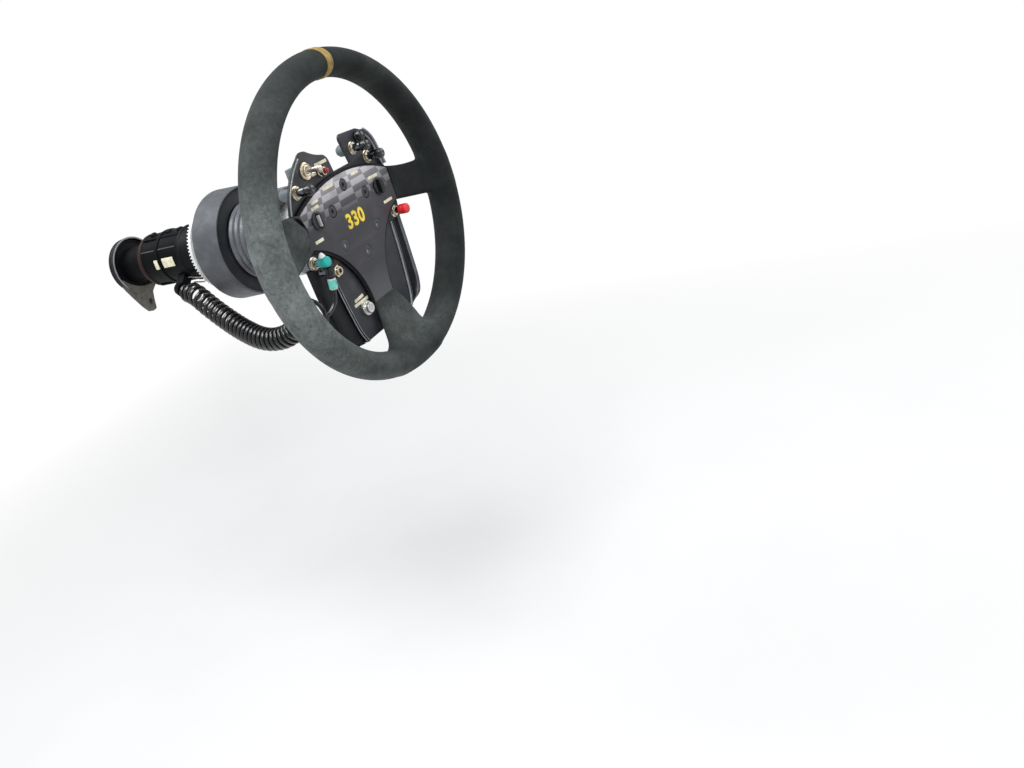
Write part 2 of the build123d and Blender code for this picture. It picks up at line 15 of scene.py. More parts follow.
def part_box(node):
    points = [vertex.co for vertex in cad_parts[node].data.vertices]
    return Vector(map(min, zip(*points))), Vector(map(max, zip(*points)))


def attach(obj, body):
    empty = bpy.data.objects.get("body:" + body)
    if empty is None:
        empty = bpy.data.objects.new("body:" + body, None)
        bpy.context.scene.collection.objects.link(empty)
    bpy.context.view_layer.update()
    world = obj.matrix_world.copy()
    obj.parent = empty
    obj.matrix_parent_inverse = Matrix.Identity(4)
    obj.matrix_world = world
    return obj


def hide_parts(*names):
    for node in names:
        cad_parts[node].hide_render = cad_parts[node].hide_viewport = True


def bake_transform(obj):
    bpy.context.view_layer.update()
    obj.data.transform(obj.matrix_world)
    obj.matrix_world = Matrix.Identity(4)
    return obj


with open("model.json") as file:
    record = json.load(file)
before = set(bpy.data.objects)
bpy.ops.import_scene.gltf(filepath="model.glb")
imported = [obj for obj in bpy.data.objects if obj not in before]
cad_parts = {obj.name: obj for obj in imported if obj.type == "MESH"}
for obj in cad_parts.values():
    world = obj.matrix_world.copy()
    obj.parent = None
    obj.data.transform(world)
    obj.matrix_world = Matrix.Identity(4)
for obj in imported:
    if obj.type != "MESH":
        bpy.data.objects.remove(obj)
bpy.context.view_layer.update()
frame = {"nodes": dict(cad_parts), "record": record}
nodes = frame["nodes"]

# Sizes read from the frame
rim_low, rim_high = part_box("rim")
RIM_Y = (rim_low.y + rim_high.y) / 2
GRIP_WIDTH = 0.0140
GRIP_DEPTH = (rim_high.y - rim_low.y) / 2
GRIP_LEAN = -0.067
RIM_RADIUS = rim_high.x - GRIP_WIDTH

# Distances behind the rim's plane
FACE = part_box("face_plate")[0].y - RIM_Y
FACE_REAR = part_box("face_plate")[1].y - RIM_Y
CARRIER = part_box("switch_carrier")[0].y - RIM_Y
CARRIER_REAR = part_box("switch_carrier")[1].y - RIM_Y

# Camera
CAMERA_PLACE = (-0.79981, RIM_Y - 0.60447, 0.17535)
CAMERA_TURN = (67.375, 17.228, -64.760)
CAMERA_LENS = 35.23

# Coiled cord: route points x, distance behind the rim's plane, z
CORD_DIAMETER = 0.0044
COIL_RADIUS = 0.0101
COIL_PITCH_START = 0.0120
COIL_PITCH_END = 0.0058
COIL_STEPS = 16
COIL_ROUTE = (
    (-0.036, 0.240, -0.031),
    (-0.045, 0.218, -0.034),
    (-0.056, 0.196, -0.045),
    (-0.066, 0.168, -0.061),
    (-0.076, 0.139, -0.0745),
    (-0.083, 0.112, -0.084),
    (-0.083, 0.088, -0.0855),
    (-0.0805, 0.068, -0.079),
    (-0.079, 0.050, -0.064),
)
TAIL_ROUTE = (
    (-0.0925, 0.0380, -0.0460),
    (-0.0905, 0.0280, -0.0475),
    (-0.0876, 0.0220, -0.0555),
    (-0.0866, 0.0215, -0.0665),
    (-0.0860, 0.0240, -0.0785),
    (-0.0883, 0.0255, -0.0905),
    (-0.0970, 0.0265, -0.0990),
    (-0.1095, 0.0260, -0.0985),
    (-0.1180, 0.0245, -0.0890),
    (-0.1170, 0.0220, -0.0770),
    (-0.1075, 0.0180, -0.0685),
    (-0.0960, 0.0135, -0.0660),
    (-0.0854, 0.0100, -0.0610),
    (-0.0796, 0.0075, -0.0535),
    (-0.0786, 0.0065, -0.0450),
)


def at(x, behind, z):
    """A point given by its distance behind the rim's plane."""
    return Vector((x, RIM_Y + behind, z))


# Building meshes


def link(thing):
    bpy.context.scene.collection.objects.link(thing)
    return thing


def from_mesh(name, mesh, material, sharp=None):
    """An object for a mesh, smooth but for edges sharper than this many degrees."""
    mesh.name = name
    mesh.shade_smooth()
    if sharp is not None:
        mesh.set_sharp_from_angle(angle=radians(sharp))
    mesh.materials.clear()
    mesh.materials.append(material)
    return link(bpy.data.objects.new(name, mesh))


def from_faces(name, points, faces, material, sharp=None):
    mesh = bpy.data.meshes.new(name)
    mesh.from_pydata([tuple(point) for point in points], [], faces)
    mesh.validate()
    mesh.update()
    return from_mesh(name, mesh, material, sharp)


def evaluated(thing):
    """The mesh of an object as its modifiers leave it. The object is removed."""
    bpy.context.view_layer.update()
    depsgraph = bpy.context.evaluated_depsgraph_get()
    mesh = bpy.data.meshes.new_from_object(thing.evaluated_get(depsgraph), depsgraph=depsgraph)
    bpy.data.objects.remove(thing)
    return mesh


def joined(name, things):
    """Several mesh objects as one, with their materials."""
    mesh = bpy.data.meshes.new(name)
    work = bmesh.new()
    materials = []
    for thing in things:
        start = len(work.faces)
        work.from_mesh(thing.data)
        work.faces.ensure_lookup_table()
        used = list(thing.data.materials)
        materials += [material for material in used if material not in materials]
        for index in range(start, len(work.faces)):
            face = work.faces[index]
            face.material_index = materials.index(used[face.material_index])
        bpy.data.objects.remove(thing)
    work.to_mesh(mesh)
    work.free()
    for used in materials:
        mesh.materials.append(used)
    return link(bpy.data.objects.new(name, mesh))


def rounded(profile, radius, steps=4):
    """A profile with each corner turned into an arc. A corner can give its own radius."""
    result = []
    count = len(profile)
    for index, corner in enumerate(profile):
        here = Vector(corner[:2])
        reach = corner[2] if len(corner) > 2 else radius
        back = Vector(profile[index - 1][:2]) - here
        ahead = Vector(profile[(index + 1) % count][:2]) - here
        turn = pi - back.angle(ahead, 0)
        if reach <= 0 or turn < radians(4):
            result.append(here)
            continue
        size = reach * abs(np.tan(turn / 2))
        size = min(size, 0.45 * back.length, 0.45 * ahead.length)
        start = here + back.normalized() * size
        end = here + ahead.normalized() * size
        for step in range(steps + 1):
            share = step / steps
            result.append(start.lerp(here, share).lerp(here.lerp(end, share), share))
    return result


def lathe(name, profile, material, centre=(0.0, 0.0), segments=96, radius=0.0005, sharp=40):
    """A piece turned about an axis along Y. The profile holds (radius, distance behind)."""
    outline = rounded(profile, radius)
    points, faces = [], []
    rows = len(outline)
    for turn in range(segments):
        angle = 2 * pi * turn / segments
        for point in outline:
            x = centre[0] + point[0] * cos(angle)
            z = centre[1] + point[0] * sin(angle)
            points.append(at(x, point[1], z))
    for turn in range(segments):
        ahead = (turn + 1) % segments
        for row in range(rows):
            up = (row + 1) % rows
            faces.append((turn * rows + row, turn * rows + up, ahead * rows + up, ahead * rows + row))
    mesh = bpy.data.meshes.new(name)
    mesh.from_pydata([tuple(point) for point in points], [], faces)
    clean(mesh)
    return from_mesh(name, mesh, material, sharp)


def clean(mesh):
    """Welds points that meet, as on an axis, and turns every face outwards."""
    work = bmesh.new()
    work.from_mesh(mesh)
    bmesh.ops.remove_doubles(work, verts=work.verts, dist=1e-6)
    bmesh.ops.dissolve_degenerate(work, edges=work.edges, dist=1e-7)
    bmesh.ops.recalc_face_normals(work, faces=work.faces)
    work.to_mesh(mesh)
    work.free()


def ring(x, z, radius, corners=32, turn=0.0):
    """Corners of a circle or a regular polygon."""
    angles = [radians(turn) + 2 * pi * k / corners for k in range(corners)]
    return [(x + radius * cos(angle), z + radius * sin(angle)) for angle in angles]


def oblong(low_x, low_z, high_x, high_z):
    return [(low_x, low_z), (high_x, low_z), (high_x, high_z), (low_x, high_z)]


def slab(name, outline, front, back, material, edge=0.0004, steps=3, sharp=35, holes=()):
    """A flat piece across Y from an outline of (x, z), with rounded edges and holes."""
    curve = bpy.data.curves.new(name, "CURVE")
    curve.dimensions = "2D"
    curve.fill_mode = "BOTH"
    for loop in (outline, *holes):
        spline = curve.splines.new("POLY")
        spline.points.add(len(loop) - 1)
        for point, (x, z) in zip(spline.points, loop):
            point.co = (x, z, 0, 1)
        spline.use_cyclic_u = True
    curve.extrude = (back - front) / 2 - edge
    curve.bevel_depth = edge
    curve.bevel_resolution = steps
    curve.offset = -edge
    mesh = evaluated(link(bpy.data.objects.new(name, curve)))
    mesh.transform(Matrix.Translation(at(0, (front + back) / 2, 0)) @ Matrix.Rotation(pi / 2, 4, "X"))
    clean(mesh)
    return from_mesh(name, mesh, material, sharp)


def tube_faces(rows, count):
    """The faces between rows of points, this many to a row, and the two ends."""
    faces = []
    for start in range(0, (rows - 1) * count, count):
        for k in range(count):
            ahead = (k + 1) % count
            faces.append((start + k, start + ahead, start + count + ahead, start + count + k))
    faces.append(tuple(range(count))[::-1])
    faces.append(tuple((rows - 1) * count + k for k in range(count)))
    return faces


def tube(name, points, radius, material, sides=12):
    """A round tube along points in the frame, turned as little as possible from one to the next."""
    points = [Vector(point) for point in points]
    radii = radius if hasattr(radius, "__len__") else [radius] * len(points)
    heading = (points[1] - points[0]).normalized()
    side = heading.orthogonal().normalized()
    vertices = []
    for index, point in enumerate(points):
        ahead = points[min(index + 1, len(points) - 1)] - points[max(index - 1, 0)]
        ahead.normalize()
        side = (side - ahead * side.dot(ahead)).normalized()
        up = ahead.cross(side)
        vertices += [
            point + (side * cos(2 * pi * k / sides) + up * sin(2 * pi * k / sides)) * radii[index]
            for k in range(sides)
        ]
    return from_faces(name, vertices, tube_faces(len(points), sides), material, 50)


def nurbs_points(name, route, resolution):
    """Points along the smooth curve that a route's points control."""
    curve = bpy.data.curves.new(name, "CURVE")
    curve.dimensions = "3D"
    spline = curve.splines.new("NURBS")
    spline.points.add(len(route) - 1)
    for point, place in zip(spline.points, route):
        point.co = (*place, 1)
    spline.order_u = 3
    spline.use_endpoint_u = True
    spline.resolution_u = resolution
    mesh = evaluated(link(bpy.data.objects.new(name, curve)))
    points = [vertex.co.copy() for vertex in mesh.vertices]
    bpy.data.meshes.remove(mesh)
    return points


# Materials


class Finish:
    """A material being put together from its nodes. Textures follow the frame's own metres."""

    def __init__(self, name, colour, roughness=0.5, metallic=0.0, **sockets):
        self.material = bpy.data.materials.new(name)
        self.material.use_nodes = True
        self.tree = self.material.node_tree
        self.shader = self.tree.nodes["Principled BSDF"]
        self.place = self.add("ShaderNodeTexCoord").outputs["Object"]
        self.height = None
        self.colour = None
        self.set_colour(colour)
        self.shader.inputs["Roughness"].default_value = roughness
        self.shader.inputs["Metallic"].default_value = metallic
        for socket, value in sockets.items():
            self.shader.inputs[socket.replace("_", " ")].default_value = value

    def add(self, kind, **settings):
        node = self.tree.nodes.new(kind)
        for name, value in settings.items():
            setattr(node, name, value)
        return node

    def plug(self, socket, value):
        """Links a socket or sets a plain value."""
        if isinstance(value, bpy.types.NodeSocket):
            self.tree.links.new(value, socket)
        else:
            socket.default_value = value

    def set_colour(self, colour):
        self.colour = (*colour, 1.0) if isinstance(colour, tuple) and len(colour) == 3 else colour
        self.plug(self.shader.inputs["Base Color"], self.colour)

    def stretched(self, stretch):
        if stretch is None:
            return self.place
        node = self.add("ShaderNodeMapping")
        self.plug(node.inputs["Vector"], self.place)
        node.inputs["Scale"].default_value = stretch
        return node.outputs["Vector"]

    def ranged(self, value, low, high, start=0.0, end=1.0):
        """The value's stretch from low to high, spread from start to end."""
        node = self.add("ShaderNodeMapRange")
        self.plug(node.inputs["Value"], value)
        node.inputs["From Min"].default_value = low
        node.inputs["From Max"].default_value = high
        node.inputs["To Min"].default_value = start
        node.inputs["To Max"].default_value = end
        return node.outputs["Result"]

    def noise(self, size, low=0.35, high=0.65, detail=4.0, roughness=0.55, stretch=None):
        """Noise whose blots are about this many metres across."""
        node = self.add("ShaderNodeTexNoise")
        self.plug(node.inputs["Vector"], self.stretched(stretch))
        node.inputs["Scale"].default_value = 1 / size
        node.inputs["Detail"].default_value = detail
        node.inputs["Roughness"].default_value = roughness
        return self.ranged(node.outputs["Fac"], low, high)

    def math(self, operation, first, second=0.0, third=0.0):
        node = self.add("ShaderNodeMath", operation=operation)
        for socket, value in zip(node.inputs, (first, second, third)):
            self.plug(socket, value)
        return node.outputs["Value"]

    def product(self, first, *shares):
        for share in shares:
            first = self.math("MULTIPLY", first, share)
        return first

    def axis(self, name):
        """One coordinate of the frame: X, Y or Z."""
        node = self.add("ShaderNodeSeparateXYZ")
        self.plug(node.inputs["Vector"], self.place)
        return node.outputs[name]

    def mixed(self, share, first, second):
        node = self.add("ShaderNodeMix", data_type="RGBA")
        self.plug(node.inputs[0], share)
        for socket, value in ((node.inputs[6], first), (node.inputs[7], second)):
            self.plug(socket, (*value, 1.0) if isinstance(value, tuple) and len(value) == 3 else value)
        return node.outputs[2]

    def tint(self, share, colour):
        """Lays a colour over what is there, where share is high."""
        self.set_colour(self.mixed(share, self.colour, colour))
        return self

    def gloss(self, share, low, high):
        """Roughness from low to high with share."""
        self.plug(self.shader.inputs["Roughness"], self.ranged(share, 0, 1, low, high))
        return self

    def bump(self, share, depth, strength=1.0):
        """Adds relief, this many metres deep."""
        node = self.add("ShaderNodeBump")
        node.inputs["Strength"].default_value = strength
        node.inputs["Distance"].default_value = depth
        self.plug(node.inputs["Height"], share)
        if self.height is not None:
            self.plug(node.inputs["Normal"], self.height)
        self.height = node.outputs["Normal"]
        self.plug(self.shader.inputs["Normal"], self.height)
        return self

    def edges(self, reach):
        """How near a surface is to one of its sharp edges."""
        bevel = self.add("ShaderNodeBevel", samples=6)
        bevel.inputs["Radius"].default_value = reach
        plain = self.add("ShaderNodeNewGeometry")
        turn = self.add("ShaderNodeVectorMath", operation="DOT_PRODUCT")
        self.plug(turn.inputs[0], bevel.outputs["Normal"])
        self.plug(turn.inputs[1], plain.outputs["Normal"])
        return self.ranged(turn.outputs["Value"], 0.985, 0.80)


def shade(value):
    """A colour written as 0 to 255 sRGB, as the shader wants it."""
    parts = value if isinstance(value, tuple) else (value,) * 3
    result = []
    for part in parts:
        part = part / 255
        result.append(part / 12.92 if part <= 0.04045 else ((part + 0.055) / 1.055) ** 2.4)
    return tuple(result)


def suede_finish():
    """Dark suede with its nap brushed both ways, paler towards the lower left: rubbed wear with painted
    light.
    """
    finish = Finish("suede", shade((22, 25, 27)), 0.86, Sheen_Weight=0.10, Sheen_Roughness=0.45)
    finish.shader.inputs["Sheen Tint"].default_value = (*shade((160, 176, 172)), 1)
    finish.shader.inputs["Specular IOR Level"].default_value = 0.25
    finish.tint(finish.noise(0.030, 0.42, 0.66, 5), shade((34, 37, 38)))
    finish.tint(finish.noise(0.011, 0.45, 0.70, 6), shade((29, 32, 32)))
    x, z = finish.axis("X"), finish.axis("Z")
    radius = finish.math("SQRT", finish.math("ADD", finish.product(x, x), finish.product(z, z)))
    patches = finish.ranged(finish.noise(0.024, 0.34, 0.60, 8, 0.68), 0, 1, 0.50, 1.0)
    # Masks for the pale suede at the left and at the foot: rubbed wear with painted light where the light
    # falls on the rim.
    left = finish.product(
        finish.ranged(x, 0.012, -0.150),
        finish.ranged(z, 0.020, 0.085, 1.0, 0.26),
        finish.ranged(z, -0.030, -0.100, 1.0, 0.62),
        finish.ranged(radius, 0.127, 0.140, 0.40, 1.0),
    )
    foot = finish.product(
        finish.ranged(x, 0.085, 0.045, 0.0, 0.36),
        finish.ranged(x, -0.045, -0.015),
        finish.ranged(z, -0.075, -0.100),
        finish.ranged(z, -0.150, -0.130),
    )
    # The pale tint over both masks: painted light with rubbed wear.
    finish.tint(finish.product(finish.math("MAXIMUM", left, foot), patches), shade((134, 140, 140)))
    finish.tint(finish.product(finish.noise(0.045, 0.50, 0.68), 0.30), shade((58, 68, 58)))
    finish.tint(finish.product(finish.noise(0.0042, 0.42, 0.70, 7, 0.75), 0.60), shade((34, 38, 36)))
    finish.bump(finish.noise(0.0012, 0.3, 0.7, 3), 0.00025, 0.5)
    finish.bump(finish.noise(0.0045, 0.3, 0.7, 4), 0.0005, 0.35)
    finish.gloss(finish.noise(0.02), 0.66, 0.90)
    return finish.material


def marker_finish():
    finish = Finish("marker", shade((150, 124, 62)), 0.6)
    finish.tint(finish.noise(0.004, 0.35, 0.7), shade((176, 148, 80)))
    finish.tint(finish.noise(0.010, 0.50, 0.72), shade((104, 86, 44)))
    finish.bump(finish.noise(0.0008), 0.0001, 0.5)
    return finish.material


# The chequer's rows, from its top edge down, and its fanned columns
CHEQUER_TOP, ROW_SPREAD, ROW_START, ROW_STEP = 0.047, 480.0, 5.6, 0.24
COLUMN_TOP, COLUMN_SPREAD, COLUMN_WIDTH, COLUMN_SHIFT = 0.041, 0.18, 0.024, 0.0012


def plate_finish():
    """A dark printed sheet: a fanned chequer of two greys that fades out downwards."""
    finish = Finish("plate_print", shade((60, 60, 65)), 0.42, Specular_IOR_Level=0.45)
    x = finish.axis("X")
    z = finish.axis("Z")
    # Rows get taller and columns wider as they go down
    depth = finish.math("MULTIPLY", finish.math("SUBTRACT", CHEQUER_TOP, z), ROW_SPREAD)
    root = finish.math("SQRT", finish.math("ADD", depth, ROW_START**2))
    row = finish.math("FLOOR", finish.math("DIVIDE", finish.math("SUBTRACT", root, ROW_START), ROW_STEP))
    below = finish.math("SUBTRACT", COLUMN_TOP, z)
    width = finish.math("MULTIPLY_ADD", below, COLUMN_SPREAD, COLUMN_WIDTH)
    middle = finish.math("DIVIDE", finish.math("ADD", x, COLUMN_SHIFT), width)
    column = finish.math("FLOOR", finish.math("ADD", middle, 0.5))
    parity = finish.math("MODULO", finish.math("ADD", finish.math("ADD", column, row), 20.0), 2.0)
    fade = finish.ranged(z, 0.0115, 0.044)
    plain = shade((60, 60, 65))
    pale = finish.mixed(fade, plain, shade((224, 220, 225)))
    grey = finish.mixed(finish.product(fade, fade), plain, shade((178, 174, 178)))
    finish.set_colour(finish.mixed(parity, grey, pale))
    finish.tint(finish.math("MULTIPLY", finish.noise(0.018, 0.50, 0.80), 0.5), shade((84, 84, 90)))
    finish.tint(finish.ranged(z, -0.052, -0.086, 0.0, 0.85), shade((92, 93, 98)))
    # Paler edges: rubbed wear with a painted highlight.
    finish.tint(finish.edges(0.0004), shade((176, 176, 182)))
    finish.bump(finish.noise(0.0009, 0.3, 0.7, 3), 0.00004, 0.5)
    finish.gloss(finish.noise(0.009, 0.3, 0.7), 0.34, 0.5)
    return finish.material


def painted(name, colour, edge_wear_and_highlight, roughness=0.45, grain=0.0012, depth=0.00006, edge=0.0005, shine=0.5):
    """A coated or moulded surface: fine grain, faint blotches and paler edges, rubbed wear with a painted
    highlight.
    """
    finish = Finish(name, shade(colour), roughness, Specular_IOR_Level=shine)
    lighter = tuple(min(255, part * 1.2 + 3) for part in colour)
    finish.tint(finish.noise(0.014, 0.45, 0.75, 5), shade(lighter))
    if edge:
        # Edges paler: rubbed wear with a painted highlight.
        finish.tint(finish.edges(edge), shade(edge_wear_and_highlight))
    finish.bump(finish.noise(grain, 0.3, 0.7, 3), depth, 0.6)
    finish.gloss(finish.noise(0.012, 0.3, 0.7), roughness - 0.08, roughness + 0.08)
    return finish.material


def metal(name, colour, roughness=0.25, stain=None, brushed=None):
    """A bare or plated metal with fine machining marks and a little grime."""
    finish = Finish(name, shade(colour), roughness, 1.0)
    if stain:
        finish.tint(finish.noise(0.005, 0.50, 0.70, 5), shade(stain))
    finish.bump(finish.noise(0.0009, 0.3, 0.7, 3, stretch=brushed), 0.00003, 0.6)
    finish.gloss(finish.noise(0.004, 0.3, 0.7), roughness - 0.07, roughness + 0.1)
    return finish.material


def glossy(name, colour, roughness=0.2, **sockets):
    finish = Finish(name, shade(colour), roughness, **sockets)
    darker = tuple(part * 0.8 for part in colour)
    finish.tint(finish.noise(0.006, 0.45, 0.75), shade(darker))
    finish.bump(finish.noise(0.0015), 0.00004, 0.5)
    finish.gloss(finish.noise(0.005), roughness, roughness + 0.15)
    return finish.material


def cast_finish():
    """Rough cast metal, dusty, with dark pits."""
    finish = Finish("cast", shade((98, 96, 89)), 0.62, 0.25)
    finish.tint(finish.noise(0.006, 0.45, 0.7, 6), shade((76, 74, 68)))
    finish.tint(finish.noise(0.002, 0.60, 0.75, 4), shade((54, 52, 48)))
    # Paler edges: worn edges with a painted highlight.
    finish.tint(finish.edges(0.0006), shade((150, 148, 142)))
    finish.bump(finish.noise(0.0020, 0.25, 0.75, 6, 0.7), 0.0004, 0.8)
    return finish.material


SUEDE = suede_finish()
MARKER = marker_finish()
PLATE = plate_finish()
BLACK_PLATE = painted("black_plate", (47, 49, 54), (160, 162, 168), 0.48)
# A shaded copy of the plate black: painted shade on the hub plate's gap and in the upper screw sockets.
SHADED_PLATE = painted("plate_painted_shade", (16, 17, 19), (44, 45, 48), 0.55, shine=0.25)
BLACK_PLASTIC = painted("black_plastic", (24, 25, 29), (66, 68, 74), 0.34)
CHEEK = painted("cheek_plastic", (24, 26, 30), (60, 62, 68), 0.50, 0.0009, shine=0.3)
# A painted highlight band along the right cheek's rounded outer edge.
CHEEK_HIGHLIGHT = painted("cheek_painted_highlight", (92, 95, 100), (110, 113, 118), 0.46, 0.0009, shine=0.4)
# A light grey for painted highlight lines and glints: crest beads, lip beads, the mount lip's face and the
# lower screw sockets.
PAINTED_HIGHLIGHT = painted("painted_highlight_edge", (134, 137, 142), (176, 178, 184), 0.45)
# White for painted glints: the left ear's edge line and the left knob's bar.
GLINT = painted("painted_glint_white", (184, 188, 188), (230, 232, 232), 0.35)
GREY_PLASTIC = painted("grey_plastic", (80, 83, 87), (180, 184, 188), 0.5, 0.0016, 0.0001)
DARK_PLASTIC = painted("dark_plastic", (44, 46, 50), (70, 72, 76), 0.5)
# Near black for painted shade: the shaft, the rear bearing, the housing's rear bore and the mount's shade
# disc.
PAINTED_SHADE = painted("painted_shade_bore", (8, 9, 12), (30, 31, 34), 0.6, shine=0.15)
LIP = painted("dark_casting", (24, 24, 28), (90, 90, 92), 0.5, shine=0.2)
BODY_PLASTIC = painted("switch_plastic", (134, 144, 150), (170, 178, 184), 0.5)
WHITE_PLASTIC = painted("white_plastic", (232, 234, 232), (244, 244, 244), 0.4)
RUBBER = painted("rubber", (96, 99, 103), (120, 123, 126), 0.32, 0.002, 0.0001, 0)
NICKEL = metal("nickel", (240, 230, 210), 0.24, (172, 148, 110))
SATIN = metal("satin_nickel", (248, 242, 228), 0.38, (214, 200, 176))
SILVER = metal("silver", (240, 240, 238), 0.34, (190, 190, 186))
BLACK_CHROME = metal("black_chrome", (122, 126, 132), 0.10)
RED = glossy("red", (238, 44, 50), 0.25, Coat_Weight=0.4)
TEAL = glossy("teal", (36, 192, 184), 0.35, Subsurface_Weight=0.1, Subsurface_Scale=0.002)
MINT = glossy("mint", (124, 228, 208), 0.4)
BRASS = metal("brass", (206, 176, 124), 0.28, (130, 100, 58))
STEEL = metal("steel", (120, 120, 124), 0.35, (80, 78, 74), (1, 30, 1))
ALUMINIUM = metal("bare_aluminium", (170, 172, 172), 0.34, (120, 120, 118), (1, 30, 1))
CAST = cast_finish()
CORD = glossy("cord", (16, 16, 19), 0.12, Coat_Weight=0.8)
CREAM = glossy("cream_print", (248, 242, 212), 0.5)
YELLOW = glossy("yellow_print", (255, 226, 74), 0.45)
OUTLINE = painted("number_outline", (104, 80, 28), (120, 96, 40), 0.5)
SEALANT = painted("brown_sealant", (62, 52, 42), (84, 72, 58), 0.6)
COPPER = painted("copper_brown", (46, 33, 31), (80, 58, 52), 0.5, shine=0.2)
SCREW = painted("screw_black", (52, 52, 57), (120, 120, 126), 0.40)
FAINT_SCREW = painted("screw_faint", (60, 60, 65), (104, 104, 110), 0.42)
KNOB_BLACK = painted("knob_black", (16, 16, 19), (56, 58, 62), 0.22)
# A grey copy of the knob black: a painted reflection of the sky.
KNOB_REFLECTION_GREY = painted("knob_painted_reflection", (50, 50, 54), (84, 84, 90), 0.3)
CAP_BLACK = glossy("cap_black", (20, 21, 24), 0.16, Coat_Weight=0.8)
LENS = glossy("lamp_red", (150, 22, 32), 0.12, Coat_Weight=0.8)
HOUSING = painted("housing_black", (5, 6, 9), (34, 36, 42), 0.50, shine=0.12)
HOUSING_FRONT = painted("housing_grey", (14, 15, 18), (50, 52, 58), 0.50, shine=0.15)
SEAM_DARK = painted("seam_dark", (70, 73, 80), (96, 98, 104), 0.4, shine=0.3)
SLOT_MATERIALS = {
    "suede": SUEDE,
    "marker": MARKER,
    "plate_print": PLATE,
    "black_plate": BLACK_PLATE,
    "black_plastic": BLACK_PLASTIC,
    "grey_plastic": GREY_PLASTIC,
    "white_plastic": WHITE_PLASTIC,
    "rubber": RUBBER,
    "nickel": NICKEL,
    "red": RED,
    "teal": TEAL,
    "steel": STEEL,
    "bare_aluminium": ALUMINIUM,
    "cast": CAST,
    "cord": CORD,
}


def dress(piece, body, slot, *replaced):
    """Seats a finished piece on the body it rides on and hides the nodes it stands for. The slot is not used.
    """
    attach(piece, body)
    if replaced:
        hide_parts(*replaced)
    return piece


def paint_frame():
    """Each carried node takes the material of its slot; the hub plate, shaft and rear bearing take painted
    shade instead, and the cord gland the housing black.
    """
    # Painted shade: near black on the hub plate's gap, the shaft and the rear bearing.
    darker = {"hub_plate": SHADED_PLATE, "steering_shaft": PAINTED_SHADE, "rear_bearing": PAINTED_SHADE, "cord_gland": HOUSING}
    for part in frame["record"]["subparts"]:
        name = part["node"]
        mesh = nodes[name].data
        mesh.materials.clear()
        mesh.materials.append(darker.get(name, SLOT_MATERIALS[part["material_slot"]]))


# Camera and cord


def add_camera():
    data = bpy.data.cameras.new("camera")
    data.lens = CAMERA_LENS
    camera = link(bpy.data.objects.new("camera", data))
    camera.location = CAMERA_PLACE
    camera.rotation_euler = [radians(angle) for angle in CAMERA_TURN]
    bpy.context.scene.camera = camera


def coil_turns(line):
    """The helix round a line: it grows out of the gland and tightens towards the wheel."""
    lengths = [0.0]
    for before, here in zip(line, line[1:]):
        lengths.append(lengths[-1] + (here - before).length)
    whole = lengths[-1]
    tail = at(*TAIL_ROUTE[0])
    heading = (line[-1] - line[-2]).normalized()
    sides = [(tail - line[-1]) - heading * (tail - line[-1]).dot(heading)]
    for index in range(len(line) - 2, -1, -1):
        heading = (line[index + 1] - line[max(index - 1, 0)]).normalized()
        sides.append(sides[-1] - heading * sides[-1].dot(heading))
    sides = [side.normalized() for side in sides[::-1]]
    lead = 0.005
    points = [line[0], line[0].lerp(line[1], 0.5)]
    travel = whole - 0.004
    angle = 0.0
    turns = []
    while travel > lead:
        pitch = COIL_PITCH_START + (COIL_PITCH_END - COIL_PITCH_START) * min(1.0, travel / (0.55 * whole))
        turns.append((travel, angle))
        travel -= pitch / COIL_STEPS
        angle -= 2 * pi / COIL_STEPS
    for travel, angle in turns[::-1]:
        index = int(np.searchsorted(lengths, travel)) - 1
        share = (travel - lengths[index]) / (lengths[index + 1] - lengths[index])
        centre = line[index].lerp(line[index + 1], share)
        heading = (line[index + 1] - line[index]).normalized()
        side = sides[index].lerp(sides[index + 1], share)
        side = (side - heading * side.dot(heading)).normalized()
        up = heading.cross(side)
        grown = min(1.0, (travel - lead) / 0.008)
        reach = COIL_RADIUS * (0.12 + 0.88 * grown * (2 - grown))
        points.append(centre + (side * cos(angle) + up * sin(angle)) * reach)
    return points


def add_cord():
    """The curly cord from the column's gland, and its plain tail up to the plug."""
    line = nurbs_points("coil_line", [at(*point) for point in COIL_ROUTE], 24)
    route = coil_turns(line) + [at(*point) for point in TAIL_ROUTE]
    path = nurbs_points("cord_line", route, 2)
    cord = tube("curly_cord", path, CORD_DIAMETER / 2, CORD, 10)
    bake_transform(cord)
    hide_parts("coiled_cord", "cord_tail")
    add_plug()


def along(start, end, shares):
    """Points between two places, at these shares of the way."""
    start, end = Vector(start), Vector(end)
    return [start + (end - start) * share for share in shares]


